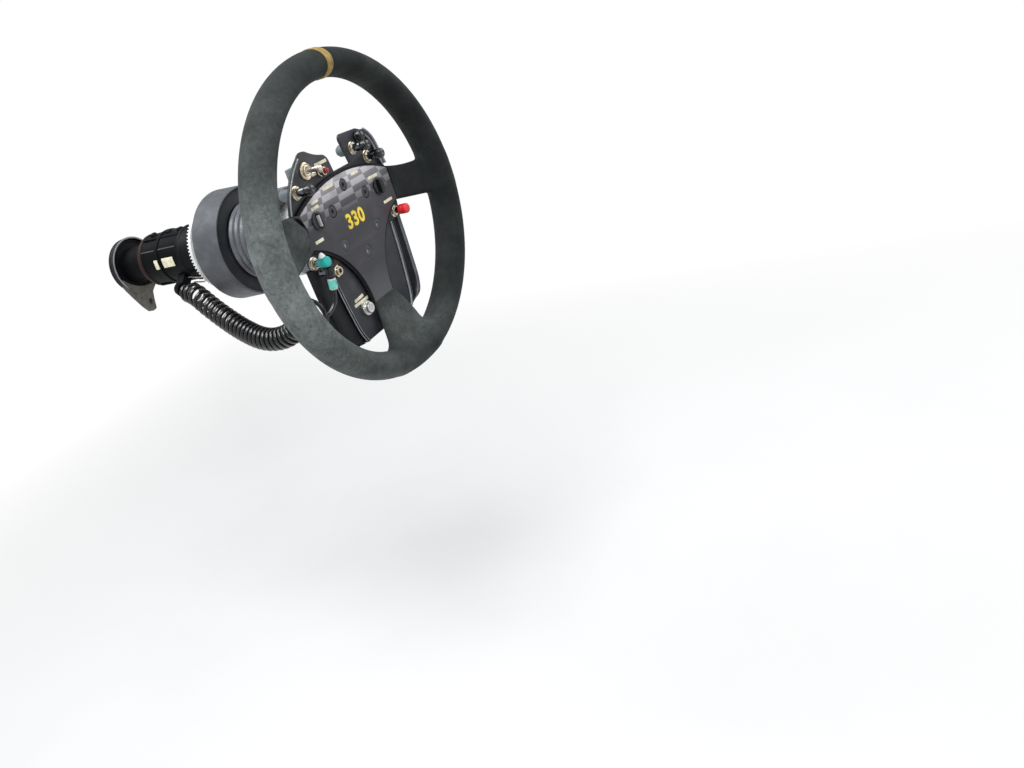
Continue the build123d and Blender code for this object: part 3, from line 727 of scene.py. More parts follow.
def add_plug():
    """The plug's black body with its gland nut, and the mint sleeve on the cord's end."""
    top, foot = at(-0.0776, 0.0040, -0.0230), at(-0.0786, 0.0065, -0.0450)
    body = tube(
        "plug_shell",
        along(top, foot, (0, 0.02, 0.10, 0.12, 0.36, 0.38, 0.46, 0.48)),
        [0.0036, 0.0043, 0.0043, 0.0040, 0.0040, 0.0045, 0.0045, 0.0041],
        BLACK_PLASTIC,
        24,
    )
    socket = tube(
        "plug_socket",
        [at(-0.0746, 0.0045, -0.0280), at(-0.0746, 0.0150, -0.0280), at(-0.0746, CARRIER - 0.0011, -0.0280)],
        [0.0032, 0.0032, 0.0038],
        BLACK_CHROME,
        24,
    )
    plug = dress(joined("plug_with_socket", [body, socket]), "wheel", "black_plastic", "plug_body")
    line = along(top, foot, (0.49, 0.50, 0.56))
    pale = tube("sleeve_ends", line, [0.0034, 0.0040, 0.0041], WHITE_PLASTIC, 24)
    tinted = tube("sleeve_middle", along(top, foot, (0.55, 0.70, 0.86, 0.93)), 0.0042, MINT, 24)
    line = along(top, foot, (0.92, 0.97, 1.0))
    lower = tube("sleeve_foot", line, [0.0041, 0.0040, 0.0032], WHITE_PLASTIC, 24)
    clip = tube("sleeve_notch", along(top, foot, (0.70, 0.72)), 0.00435, BLACK_PLASTIC, 24)
    for vertex in clip.data.vertices:
        vertex.co.x = max(vertex.co.x, -0.0792)
        vertex.co.y = min(vertex.co.y, RIM_Y + 0.0052)
    sleeve = dress(joined("mint_sleeve", [tinted, pale, lower, clip]), "wheel", "teal", "plug_sleeve")
    return [sleeve, plug]


# Suede rim and spokes

# Each spoke's sections: distance from the axis, offset across, width, front, back
RIGHT_SPOKE = (
    (0.079, 0.0120, 0.037, 0.0120, 0.0185),
    (0.108, 0.0055, 0.036, 0.0060, 0.0150),
    (0.147, 0.0005, 0.042, -0.0060, 0.0100),
)
LEFT_SPOKE = (
    (0.079, -0.0120, 0.037, 0.0120, 0.0185),
    (0.106, -0.0110, 0.045, 0.0030, 0.0155),
    (0.147, -0.0050, 0.050, -0.0070, 0.0100),
)
FOOT_SPOKE = (
    (0.084, 0.0005, 0.035, 0.0120, 0.0185),
    (0.108, 0.0055, 0.052, 0.0070, 0.0155),
    (0.147, 0.0000, 0.066, -0.0060, 0.0100),
)
SPOKES = ((0, RIGHT_SPOKE), (180, LEFT_SPOKE), (270, FOOT_SPOKE))
# The thumb rest's bulge on the left spoke: middle and half sizes
BULGE = (-0.1060, 0.0030, 0.0165)
BULGE_SIZE = (0.0215, 0.0135, 0.0175)
SPOKE_BLEND = 0.011
BULGE_BLEND = 0.008


def suede_distance(points):
    """How far points are outside the suede: the rim and the spokes, run into each other."""
    x = points[:, 0]
    y = points[:, 1] - RIM_Y
    z = points[:, 2]
    out = np.hypot(x, z) - RIM_RADIUS
    wide = (out * cos(GRIP_LEAN) + y * sin(GRIP_LEAN)) / GRIP_WIDTH
    deep = (y * cos(GRIP_LEAN) - out * sin(GRIP_LEAN)) / GRIP_DEPTH
    size = np.maximum(np.hypot(wide, deep), 1e-6)
    result = size * (size - 1) / np.maximum(np.hypot(wide / GRIP_WIDTH, deep / GRIP_DEPTH), 1e-6)
    for angle, sections in SPOKES:
        turn = radians(angle)
        along_spoke = x * cos(turn) + z * sin(turn)
        across = z * cos(turn) - x * sin(turn)
        reach, shift, width, near, far = np.array(sections).T
        here = np.clip(along_spoke, reach[0], reach[-1] + 0.006)
        middle, half, front, back = (
            np.polyval(np.polyfit(reach, values, 2), here)
            for values in (shift, width / 2, near, far)
        )
        corner = (back - front) * 0.45
        off_across = np.abs(across - middle) - half + corner
        off_depth = np.abs(y - (front + back) / 2) - (back - front) / 2 + corner
        outside = np.hypot(np.maximum(off_across, 0), np.maximum(off_depth, 0))
        spoke = outside + np.minimum(np.maximum(off_across, off_depth), 0) - corner
        spoke = np.maximum(spoke, reach[0] - along_spoke)
        spoke = np.maximum(spoke, along_spoke - RIM_RADIUS - 0.002)
        near_both = np.maximum(SPOKE_BLEND - np.abs(result - spoke), 0)
        result = np.minimum(result, spoke) - near_both**2 / (4 * SPOKE_BLEND)
    away = np.stack([x - BULGE[0], y - BULGE[1], z - BULGE[2]], 1) / BULGE_SIZE
    size = np.linalg.norm(away, axis=1)
    bulge = size * (size - 1) / np.maximum(np.linalg.norm(away / BULGE_SIZE, axis=1), 1e-6)
    near_both = np.maximum(BULGE_BLEND - np.abs(result - bulge), 0)
    return np.minimum(result, bulge) - near_both**2 / (4 * BULGE_BLEND)


def spoke_block(angle, sections):
    """A rough spoke that only tells the remesher where suede is."""
    turn = radians(angle)
    points = []
    for reach, shift, width, near, far in sections:
        for side, depth in ((-1, near), (1, near), (1, far), (-1, far)):
            across = shift + side * width / 2
            points.append(
                at(reach * cos(turn) - across * sin(turn), depth, reach * sin(turn) + across * cos(turn))
            )
    return from_faces("spoke_block", points, tube_faces(len(sections), 4), SUEDE)


def grip_outline(spare=0.0, corners=40):
    """The grip's oval section as (radius, distance behind)."""
    result = []
    for k in range(corners):
        wide = (GRIP_WIDTH + spare) * cos(2 * pi * k / corners)
        deep = (GRIP_DEPTH + spare) * sin(2 * pi * k / corners)
        out = wide * cos(GRIP_LEAN) - deep * sin(GRIP_LEAN)
        result.append((RIM_RADIUS + out, deep * cos(GRIP_LEAN) + wide * sin(GRIP_LEAN)))
    return result


def add_suede():
    """One skin over the rim and its three spokes."""
    things = [lathe("rim_block", grip_outline(), SUEDE, segments=160, radius=0)]
    things += [spoke_block(*spoke) for spoke in SPOKES]
    rough = joined("suede_rough", things)
    clean(rough.data)
    remesh = rough.modifiers.new("remesh", "REMESH")
    remesh.mode = "VOXEL"
    remesh.voxel_size = 0.0015
    mesh = evaluated(rough)
    points = np.empty(len(mesh.vertices) * 3)
    mesh.vertices.foreach_get("co", points)
    points = points.reshape(-1, 3)
    step = 1e-5
    for _ in range(6):
        away = suede_distance(points)
        slope = np.empty_like(points)
        for axis in range(3):
            moved = points.copy()
            moved[:, axis] += step
            slope[:, axis] = (suede_distance(moved) - away) / step
        size = np.maximum((slope**2).sum(1), 0.05)
        points -= 0.8 * (away / size)[:, None] * slope
    mesh.vertices.foreach_set("co", points.ravel())
    mesh.update()
    skin = from_mesh("suede_skin", mesh, SUEDE, 50)
    dress(skin, "wheel", "suede", "rim", "right_spoke", "left_spoke", "bottom_spoke")


MARK_ANGLE = 87.3
MARK_HALF = 1.82


def add_mark():
    """The tan band round the grip, laid on the suede."""
    outline = grip_outline(0.0007, 64)
    points = []
    stations = np.linspace(MARK_ANGLE - MARK_HALF, MARK_ANGLE + MARK_HALF, 9)
    for row, angle in enumerate(stations):
        lift = 0.0004 if row in (0, 8) else 0.0
        for radius, behind in outline:
            out = Vector((radius - RIM_RADIUS, behind))
            out = out * (1 - lift / out.length)
            radius = RIM_RADIUS + out.x
            points.append(at(radius * cos(radians(angle)), out.y, radius * sin(radians(angle))))
    mark = from_faces("centre_band", points, tube_faces(len(stations), len(outline)), MARKER, 40)
    dress(mark, "wheel", "marker", "centre_mark")


# Face plate, its screws, labels and knobs


def arc(start, middle, end, steps=10):
    """Points on the circle through three places, without the last."""
    (ax, az), (bx, bz), (cx, cz) = start, middle, end
    d = 2 * (ax * (bz - cz) + bx * (cz - az) + cx * (az - bz))
    a2, b2, c2 = ax * ax + az * az, bx * bx + bz * bz, cx * cx + cz * cz
    ux = (a2 * (bz - cz) + b2 * (cz - az) + c2 * (az - bz)) / d
    uz = (a2 * (cx - bx) + b2 * (ax - cx) + c2 * (bx - ax)) / d
    first, half, last = (atan2(z - uz, x - ux) for x, z in (start, middle, end))
    sweep = (last - first) % (2 * pi)
    if (half - first) % (2 * pi) > sweep:
        sweep -= 2 * pi
    radius = hypot(ax - ux, az - uz)
    return [
        (ux + radius * cos(first + sweep * k / steps), uz + radius * sin(first + sweep * k / steps))
        for k in range(steps)
    ]


def mirrored(points):
    return points + [(-x, z) for x, z in reversed(points)]


def plate_outline():
    right = [*arc((0.0, 0.0462), (0.041, 0.0416), (0.079, 0.0285), 16)[1:], (0.079, 0.0285)]
    right += arc((0.079, -0.0045), (0.036, -0.032), (0.017, -0.080), 24)
    right += [(0.017, -0.080), (0.017, -0.084)]
    return mirrored(right)


SCREW_PLACES = ring(0, 0, 0.035, 6, 30)
# The wheel's nominal diameter, as a plain number
NUMBER = "330"
NUMBER_X = -0.0010
NUMBER_HEIGHT = 0.0136
NUMBER_DEPTH = 0.00022
# How tall the font's figures are for its size
CAPITAL_SHARE = 0.69
# Cream labels on the face plate: middle x, z, length, height, turn in degrees
LABELS = (
    (-0.0513, 0.0342, 0.0117, 0.0027, 2),
    (-0.0538, 0.0293, 0.0122, 0.0030, 2),
    (-0.0248, 0.0404, 0.0180, 0.0030, 1),
    (0.0233, 0.0399, 0.0130, 0.0030, -1),
    (0.0506, 0.0276, 0.0170, 0.0030, -2),
    (0.0620, -0.0020, 0.0160, 0.0029, 0),
    (-0.0648, -0.0002, 0.0128, 0.0030, 0),
)


def label(name, x, z, length, height, turn, front, material):
    """A thin plain label with rounded corners, lying on a face across Y."""
    corners = oblong(-length / 2, -height / 2, length / 2, height / 2)
    angle = radians(turn)
    outline = [
        (x + p.x * cos(angle) - p.y * sin(angle), z + p.x * sin(angle) + p.y * cos(angle))
        for p in rounded(corners, 0.0005, 3)
    ]
    return slab(name, outline, front - 0.00025, front + 0.0001, material, edge=0.00008, steps=1)


def plain_number(name, front, thick, material):
    """The plain number, standing on the face plate."""
    curve = bpy.data.curves.new(name, "FONT")
    curve.body = NUMBER
    curve.align_x = "CENTER"
    curve.align_y = "CENTER"
    curve.size = NUMBER_HEIGHT / CAPITAL_SHARE
    curve.space_character = 1.08
    curve.offset = thick
    curve.extrude = NUMBER_DEPTH
    curve.resolution_u = 6
    mesh = evaluated(link(bpy.data.objects.new(name, curve)))
    mesh.transform(Matrix.Translation(at(NUMBER_X, front, 0.0)) @ Matrix.Rotation(pi / 2, 4, "X"))
    return from_mesh(name, mesh, material, 30)


def add_face():
    pockets = [ring(x, z, 0.0064, 40) for x, z in SCREW_PLACES]
    plate = slab("printed_plate", plate_outline(), FACE, FACE_REAR, PLATE, edge=0.00022, holes=pockets)
    parts = [plate]
    for index, (x, z, length, height, turn) in enumerate(LABELS):
        parts.append(label(f"label_{index}", x, z, length, height, turn, FACE, CREAM))
    for name, lift, thick, material in (("back", 0.0001, 0.0012, OUTLINE), ("front", 0.0003, 0.0006, YELLOW)):
        parts.append(plain_number(f"number_{name}", FACE - lift, thick, material))
    dress(joined("face_with_labels", parts), "wheel", "plate_print", "face_plate")

    heads = []
    for index, (x, z) in enumerate(SCREW_PLACES):
        upper = z > 0
        head = slab(
            f"screw_{index}",
            ring(x, z, 0.0056 if upper else 0.0061, 36),
            FACE + (0.0003 if upper else 0.0001),
            FACE_REAR,
            SCREW if upper else FAINT_SCREW,
            edge=0.0004,
            holes=[ring(x, z, 0.0024, 6, 17 * index)],
        )
        # The socket floors carry painted light: painted shade in the upper three, a painted glint in the
        # lower three.
        socket = slab(
            f"socket_{index}",
            ring(x, z, 0.0030, 24),
            FACE_REAR - 0.0004,
            FACE_REAR - 0.0001,
            SHADED_PLATE if upper else PAINTED_HIGHLIGHT,
            0.0001,
        )
        heads += [head, socket]
    dress(joined("hub_screw_heads", heads), "wheel", "steel", "hub_screws")


def add_knob(side, x, z, with_painted_reflection):
    """A rotary knob: knurled skirt and a tall finger bar; the left knob has a painted reflection, a grey
    skirt and a white line down one side of the bar.
    """
    knurl = []
    for k in range(144):
        radius = 0.0089 - (0.00028 if k % 4 in (1, 2) else 0.0)
        knurl.append((x + radius * cos(2 * pi * k / 144), z + radius * sin(2 * pi * k / 144)))
    # The left knob's grey skirt is a painted reflection on glossy black.
    skirt = KNOB_REFLECTION_GREY if with_painted_reflection else KNOB_BLACK
    parts = [slab(f"{side}_skirt", knurl, FACE - 0.0020, FACE, skirt, edge=0.00035, steps=2)]
    bar = oblong(-0.0020, -0.0076, 0.0020, 0.0076)
    outline = [(x + p.x, z + p.y) for p in rounded(bar, 0.0016, 4)]
    parts.append(slab(f"{side}_bar", outline, FACE - 0.0050, FACE - 0.0019, KNOB_BLACK, edge=0.0006, steps=4))
    # A white line down the bar's left side: a painted reflection.
    if with_painted_reflection:
        line = oblong(-0.0024, -0.0058, -0.0006, 0.0056)
        outline = [(x + p.x, z + p.y) for p in rounded(line, 0.0008, 3)]
        parts.append(slab(f"{side}_line", outline, FACE - 0.00525, FACE - 0.0022, GLINT, 0.0003, 2))
    dress(joined(f"{side}_knob", parts), "wheel", "black_plastic", f"{side}_rotary_knob")


# Switch carrier with its cheeks, lips and controls

CREST = (
    (0.0425, -0.1155),
    (0.0490, -0.1020),
    (0.0520, -0.0850),
    (0.0550, -0.0660),
    (0.0575, -0.0450),
    (0.0590, -0.0240),
)
CHEEK_EDGE = (
    (0.0560, -0.1110),
    (0.0670, -0.1105),
    (0.0735, -0.1060),
    (0.0783, -0.0925),
    (0.0795, -0.0720),
    (0.0812, -0.0493),
    (0.0822, -0.0230),
)
LEFT_CHEEK_EDGE = (
    (0.0560, -0.1140),
    (0.0670, -0.1130),
    (0.0745, -0.1070),
    (0.0790, -0.0925),
    (0.0812, -0.0720),
    (0.0830, -0.0493),
    (0.0838, -0.0230),
)


def carrier_outline():
    points = [(0.0, -0.1150), *CREST, (0.0820, -0.024), (0.085, -0.010), (0.0855, 0.025)]
    points += arc((0.0805, 0.048), (0.0773, 0.062), (0.0675, 0.0735), 8)
    points += [(0.0675, 0.0735), (0.058, 0.0775)]
    points += arc((0.033, 0.079), (0.0276, 0.0776), (0.026, 0.073), 6)
    points += [(0.026, 0.073), (0.0305, 0.0495), (0.0005, 0.0495)]
    points += arc((-0.001, 0.060), (-0.0036, 0.0664), (-0.009, 0.0695), 6)
    points += arc((-0.009, 0.0695), (-0.020, 0.073), (-0.030, 0.0784), 6)
    points += arc((-0.030, 0.0784), (-0.0375, 0.080), (-0.045, 0.0766), 6)
    points += arc((-0.045, 0.0766), (-0.0684, 0.0578), (-0.082, 0.037), 8)
    points += [(-0.082, 0.037), (-0.0846, 0.031), (-0.0855, 0.025), (-0.085, -0.010), (-0.0820, -0.024)]
    points += [(-x, z) for x, z in reversed(CREST)]
    return points


def strip(name, line, width, front, back, material, edge=0.0008):
    """A raised strip that follows a line of (x, z); the width lies to the line's left."""
    path = [Vector(point) for point in line]
    other = []
    for index, point in enumerate(path):
        ahead = (path[min(index + 1, len(path) - 1)] - path[max(index - 1, 0)]).normalized()
        other.append(point + Vector((-ahead.y, ahead.x)) * width)
    outline = [tuple(point) for point in path + other[::-1]]
    return slab(name, outline, front, back, material, edge=edge, steps=3)


def cheek(side, sign):
    """A wing's outer cheek: a bead on the crest, a face that falls away and a deep side."""
    inner = resampled(CREST, 40)
    outer = resampled(CHEEK_EDGE if sign > 0 else LEFT_CHEEK_EDGE, 40)
    points = []
    for (ax, az), (bx, bz) in zip(inner, outer):
        start, end = Vector((ax, az)), Vector((bx, bz))
        span = (end - start).length
        across = (end - start).normalized()
        section = [
            (0.0, CARRIER + 0.0085),
            (0.0, CARRIER - 0.0006),
            (0.0003, CARRIER - 0.0016),
            (0.0015, CARRIER - 0.0019),
            (0.0019, CARRIER - 0.0008),
            (0.0028, CARRIER - 0.0008),
            (0.0032, CARRIER - 0.0017),
            (0.0043, CARRIER - 0.0013),
            (0.0048, CARRIER + 0.0014),
            (0.4 * span, CARRIER + 0.0022),
            (span - 0.0078, CARRIER + 0.0022),
            (span - 0.0070, CARRIER + 0.0002),
            (span - 0.0062, CARRIER - 0.0006),
            (span - 0.0014, CARRIER + 0.0001),
            (span - 0.0004, CARRIER + 0.0008),
            (span, CARRIER + 0.0022),
            (span, CARRIER + 0.0085),
        ]
        for reach, behind in section:
            place = start + across * reach
            points.append(at(sign * place.x, behind, place.y))
    count = len(section)
    mesh = bpy.data.meshes.new(f"{side}_cheek")
    mesh.from_pydata([tuple(point) for point in points], [], tube_faces(len(inner), count))
    clean(mesh)
    piece = from_mesh(f"{side}_cheek", mesh, CHEEK, 38)
    mesh.materials.append(PAINTED_HIGHLIGHT)
    mesh.materials.append(CHEEK_HIGHLIGHT)
    # Painted highlights: a light line on the crest's beads, and on the right cheek a lighter band along the
    # rounded outer edge.
    for polygon in mesh.polygons:
        k = polygon.index % count
        if len(polygon.vertices) == 4 and k in (1, 2, 6):
            polygon.material_index = 1
        if len(polygon.vertices) == 4 and k in (11, 12) and sign > 0:
            polygon.material_index = 2
    return dress(piece, "wheel", "black_plastic", f"{side}_wing_cheek")


def resampled(line, count):
    """A line of (x, z) cut into this many evenly spaced points, its corners softened."""
    path = np.array(line, float)
    for _ in range(2):
        quarter = path[:-1] * 0.75 + path[1:] * 0.25
        three = path[:-1] * 0.25 + path[1:] * 0.75
        path = np.vstack([path[:1], np.stack([quarter, three], 1).reshape(-1, 2), path[-1:]])
    length = np.concatenate([[0], np.cumsum(np.hypot(*np.diff(path, axis=0).T))])
    even = np.linspace(0, length[-1], count)
    return np.stack([np.interp(even, length, path[:, axis]) for axis in (0, 1)], 1)


# The line of the left ear's edge glint, a painted highlight laid on the carrier.
LEFT_EDGE_GLINT = (
    (-0.0836, 0.0320), (-0.0815, 0.0370), (-0.0762, 0.0475), (-0.0684, 0.0573), (-0.0570, 0.0682),
    (-0.0452, 0.0760),
)
RIGHT_LIP = ((0.0655, 0.0746), (0.0720, 0.0696), (0.0775, 0.0610), (0.0802, 0.0482), (0.0837, 0.0330))
RIGHT_LIP_INNER = ((0.0620, 0.0700), (0.0676, 0.0660), (0.0724, 0.0586), (0.0750, 0.0470), (0.0782, 0.0330))
START_LABELS = (
    (-0.0340, -0.0721, 0.0160, 0.0030, 4.6),
    (-0.0322, -0.0766, 0.0250, 0.0030, 1),
    (-0.0165, -0.0797, 0.0055, 0.0030, 8),
)


def add_carrier():
    holes = [ring(0, 0, 0.022, 64), ring(-0.029, -0.0486, 0.0016, 24), ring(-0.0180, -0.0930, 0.0013, 20)]
    outline = carrier_outline()
    parts = [slab("carrier_plate", outline, CARRIER, CARRIER_REAR, BLACK_PLATE, 0.0004, holes=holes)]
    # A painted glint along the left ear's edge.
    line = resampled(LEFT_EDGE_GLINT, 30)
    parts.append(strip("left_edge_glint", line, -0.0010, CARRIER - 0.0012, CARRIER + 0.0003, GLINT, 0.0004))
    for index, (x, z, length, height, turn) in enumerate(START_LABELS):
        parts.append(label(f"start_label_{index}", x, z, length, height, turn, CARRIER, CREAM))
    parts.append(label("tab_label", -0.0150, 0.0630, 0.0200, 0.0030, 0, CARRIER, CREAM))
    tab = oblong(-0.0345, 0.0548, -0.0276, 0.0584)
    patch = ring(-0.0452, -0.0262, 0.0052, 9, 10)
    small_things = (
        ("silver_tab", rounded(tab, 0.0008, 3), 0.0010, SILVER, 0.0003),
        ("sealant_patch", rounded(patch, 0.002, 3), 0.0008, SEALANT, 0.0004),
        ("small_rivet", ring(-0.0385, -0.0295, 0.0022, 18), 0.0012, BRASS, 0.0005),
        ("edge_rivet", ring(-0.0515, 0.0405, 0.0020, 18), 0.0012, BRASS, 0.0005),
    )
    for name, outline, height, material, edge in small_things:
        parts.append(slab(name, outline, CARRIER - height, CARRIER + 0.0001, material, edge))
    dress(joined("carrier_with_labels", parts), "wheel", "black_plate", "switch_carrier")

    outline = [*resampled(RIGHT_LIP, 24), *resampled(RIGHT_LIP_INNER, 24)[::-1]]
    base = slab("lip_base", outline, CARRIER - 0.0030, CARRIER, BLACK_PLATE, 0.0009)
    # Two light beads on the lip's ridges: painted highlight lines.
    beads = []
    for index, line in enumerate((RIGHT_LIP, RIGHT_LIP_INNER)):
        path = [at(x, CARRIER - 0.0034, z) for x, z in resampled(line, 24)]
        beads.append(tube(f"lip_highlight_bead_{index}", path, 0.0011, PAINTED_HIGHLIGHT, 10))
    dress(joined("right_lip", [base, *beads]), "wheel", "black_plate", "right_ear_lip")
    for side, sign in (("right", 1), ("left", -1)):
        cheek(side, sign)


PUSH_PLACES = ((-0.0648, 0.0484), (0.0416, 0.0612), (0.0604, 0.0472))
RED_PLACE = (0.0730, -0.0164)
TEAL_PLACE = (-0.0788, -0.0173)
TOGGLE_PLACE = (-0.0410, 0.0624)
LAMP_PLACE = (-0.0215, 0.0556)
START_PLACE = (-0.0305, -0.0845)
BUSHING_PLACE = (-0.0515, -0.0358)
GROMMET_PLACE = (0.0555, 0.0694)


def raised(*profile):
    """A profile for lathe from (radius, height above the carrier's front)."""
    return [(radius, CARRIER - height, *corner) for radius, height, *corner in profile]


def nut(name, place, turn):
    """A washer and a hexagon nut with a turned collar."""
    x, z = place
    bore = ring(x, z, 0.0031, 24)
    washer = slab(
        f"{name}_washer", ring(x, z, 0.0068, 40), CARRIER - 0.0006, CARRIER, NICKEL, 0.00015, 1, holes=[bore]
    )
    outline = ring(x, z, 0.0063, 6, turn)
    hexagon = slab(
        f"{name}_hex", outline, CARRIER - 0.0027, CARRIER - 0.0005, NICKEL, 0.0005, 2, holes=[bore]
    )
    collar = lathe(
        f"{name}_collar",
        raised((0.0031, 0.0033), (0.0047, 0.0033), (0.0051, 0.0025), (0.0031, 0.0025)),
        NICKEL,
        (x, z),
        32,
        0.0002,
    )
    return [washer, hexagon, collar]


def add_push_buttons():
    nuts = []
    caps = []
    for index, (x, z) in enumerate(PUSH_PLACES):
        nuts += nut(f"push_{index}", (x, z), 11 * index + 4)
        barrel = raised(
            (0.0031, 0.0032), (0.0041, 0.0032), (0.0041, 0.0060), (0.0043, 0.0063),
            (0.0043, 0.0118), (0.0031, 0.0118),
        )
        nuts.append(lathe(f"barrel_{index}", barrel, BLACK_CHROME, (x, z), 40, 0.0003))
        cap = raised(
            (0.0, 0.0002), (0.0030, 0.0002), (0.0030, 0.0119), (0.0047, 0.0119, 0.0006),
            (0.0050, 0.0150, 0.0006), (0.0050, 0.0200, 0.0022), (0.0022, 0.0209, 0.002),
            (0.0, 0.0205),
        )
        caps.append(lathe(f"push_cap_{index}", cap, CAP_BLACK, (x, z), 40, 0.0003))
    for name, place, turn in (("red", RED_PLACE, 20), ("teal", TEAL_PLACE, 8)):
        nuts += nut(name, place, turn)
    dress(joined("nuts_and_barrels", nuts), "wheel", "nickel", "switch_nuts")
    dress(joined("black_caps", caps), "wheel", "black_plastic", "black_buttons")

    for name, place, material, slot in (("red", RED_PLACE, RED, "red"), ("teal", TEAL_PLACE, TEAL, "teal")):
        neck = lathe(
            f"{name}_neck",
            raised(
                (0.0, 0.0001), (0.0030, 0.0001), (0.0034, 0.0036), (0.0034, 0.0082), (0.0, 0.0082),
            ),
            BLACK_CHROME,
            place,
            32,
            0.0002,
        )
        cap = lathe(
            f"{name}_head",
            raised(
                (0.0, 0.0080), (0.0050, 0.0080, 0.0010), (0.0053, 0.0100, 0.0008),
                (0.0053, 0.0125, 0.0003), (0.0051, 0.0127, 0.0001), (0.0051, 0.0130, 0.0001),
                (0.0053, 0.0132, 0.0003), (0.0053, 0.0185, 0.0026), (0.0, 0.0185),
            ),
            material,
            place,
            48,
            0.0004,
        )
        dress(joined(f"{name}_cap", [cap, neck]), "wheel", slot, f"{name}_button")
    x, z = TEAL_PLACE
    foot = at(x, CARRIER - 0.0128, z + 0.0047)
    rise = [foot + Vector((0, 0, height)) for height in (0.0, 0.0010, 0.0030, 0.0042, 0.0048)]
    tip = tube("teal_tip", rise, [0.0036, 0.0035, 0.0024, 0.0015, 0.0006], WHITE_PLASTIC, 24)
    dress(tip, "wheel", "white_plastic", "teal_button_tip")


def add_small_controls():
    x, z = TOGGLE_PLACE
    bezel = raised(
        (0.0030, 0.0), (0.0085, 0.0), (0.0085, 0.0014, 0.0006), (0.0068, 0.0022, 0.0006),
        (0.0064, 0.0012, 0.0003), (0.0058, 0.0012, 0.0003), (0.0056, 0.0034, 0.0008),
        (0.0034, 0.0034, 0.0006), (0.0030, 0.0022),
    )
    dress(lathe("toggle_bezel", bezel, NICKEL, (x, z), 64, 0.0003), "wheel", "nickel", "toggle_base")
    reaches = (0.0, 0.0018, 0.0030, 0.0080, 0.0140, 0.0172, 0.0186, 0.0196, 0.0200)
    radii = (0.0029, 0.0029, 0.0023, 0.0025, 0.0028, 0.0031, 0.0029, 0.0022, 0.0010)
    lever = tube("toggle_bat", [at(x, CARRIER - reach, z) for reach in reaches], radii, SATIN, 24)
    dress(lever, "wheel", "nickel", "toggle_lever")

    x, z = LAMP_PLACE
    base = slab("lamp_hex", ring(x, z, 0.0048, 6, 14), CARRIER - 0.0020, CARRIER, NICKEL, 0.0004)
    collar = raised(
        (0.0, 0.0018), (0.0038, 0.0018), (0.0041, 0.0070, 0.0005), (0.0031, 0.0074, 0.0003),
        (0.0029, 0.0066), (0.0, 0.0066),
    )
    parts = [base, lathe("lamp_ring", collar, NICKEL, (x, z), 40, 0.0003)]
    dress(joined("lamp_holder", parts), "wheel", "nickel", "lamp_collar")
    lens = raised((0.0, 0.0067), (0.0028, 0.0067), (0.0028, 0.0106, 0.0018), (0.0, 0.0118))
    dress(lathe("lamp_lens", lens, LENS, (x, z), 32, 0.0004), "wheel", "red", "lamp")

    x, z = START_PLACE
    teeth = []
    for k in range(120):
        radius = 0.0077 - (0.00035 if k % 4 in (1, 2) else 0.0)
        teeth.append((x + radius * cos(2 * pi * k / 120), z + radius * sin(2 * pi * k / 120)))
    collar = slab("start_collar", teeth, CARRIER - 0.0040, CARRIER, SILVER, edge=0.0005, steps=2)
    cap = raised(
        (0.0, 0.0038), (0.0060, 0.0038), (0.0060, 0.0048, 0.0004), (0.0054, 0.0050, 0.0002),
        (0.0054, 0.0083, 0.0010), (0.0030, 0.0078, 0.0010), (0.0, 0.0076),
    )
    parts = [collar, lathe("start_cap", cap, SILVER, (x, z), 48, 0.0004)]
    dress(joined("silver_button", parts), "wheel", "nickel", "start_button")

    x, z = BUSHING_PLACE
    bore = ring(x, z, 0.0025, 24)
    outline = ring(x, z, 0.0062, 6, 12)
    hexagon = slab("bushing_hex", outline, CARRIER - 0.0024, CARRIER, NICKEL, 0.0005, 2, holes=[bore])
    neck = raised(
        (0.0025, 0.0022), (0.0045, 0.0022), (0.0045, 0.0048, 0.0004), (0.0040, 0.0052),
        (0.0025, 0.0052),
    )
    floor = slab("bushing_floor", ring(x, z, 0.0030, 20), CARRIER - 0.0006, CARRIER + 0.0001, SEALANT, 0.0002)
    parts = [hexagon, lathe("bushing_neck", neck, NICKEL, (x, z), 32, 0.0002), floor]
    dress(joined("empty_bushing", parts), "wheel", "nickel", "spare_bushing")

    grommet = raised(
        (0.0, 0.0), (0.0060, 0.0), (0.0060, 0.0022, 0.0008), (0.0052, 0.0028, 0.0004),
        (0.0050, 0.0078, 0.0020), (0.0, 0.0090),
    )
    plug = lathe("grommet_plug", grommet, CAP_BLACK, GROMMET_PLACE, 40, 0.0005)
    dress(plug, "wheel", "rubber", "ear_grommet")


BODY_RADIUS = 0.0060


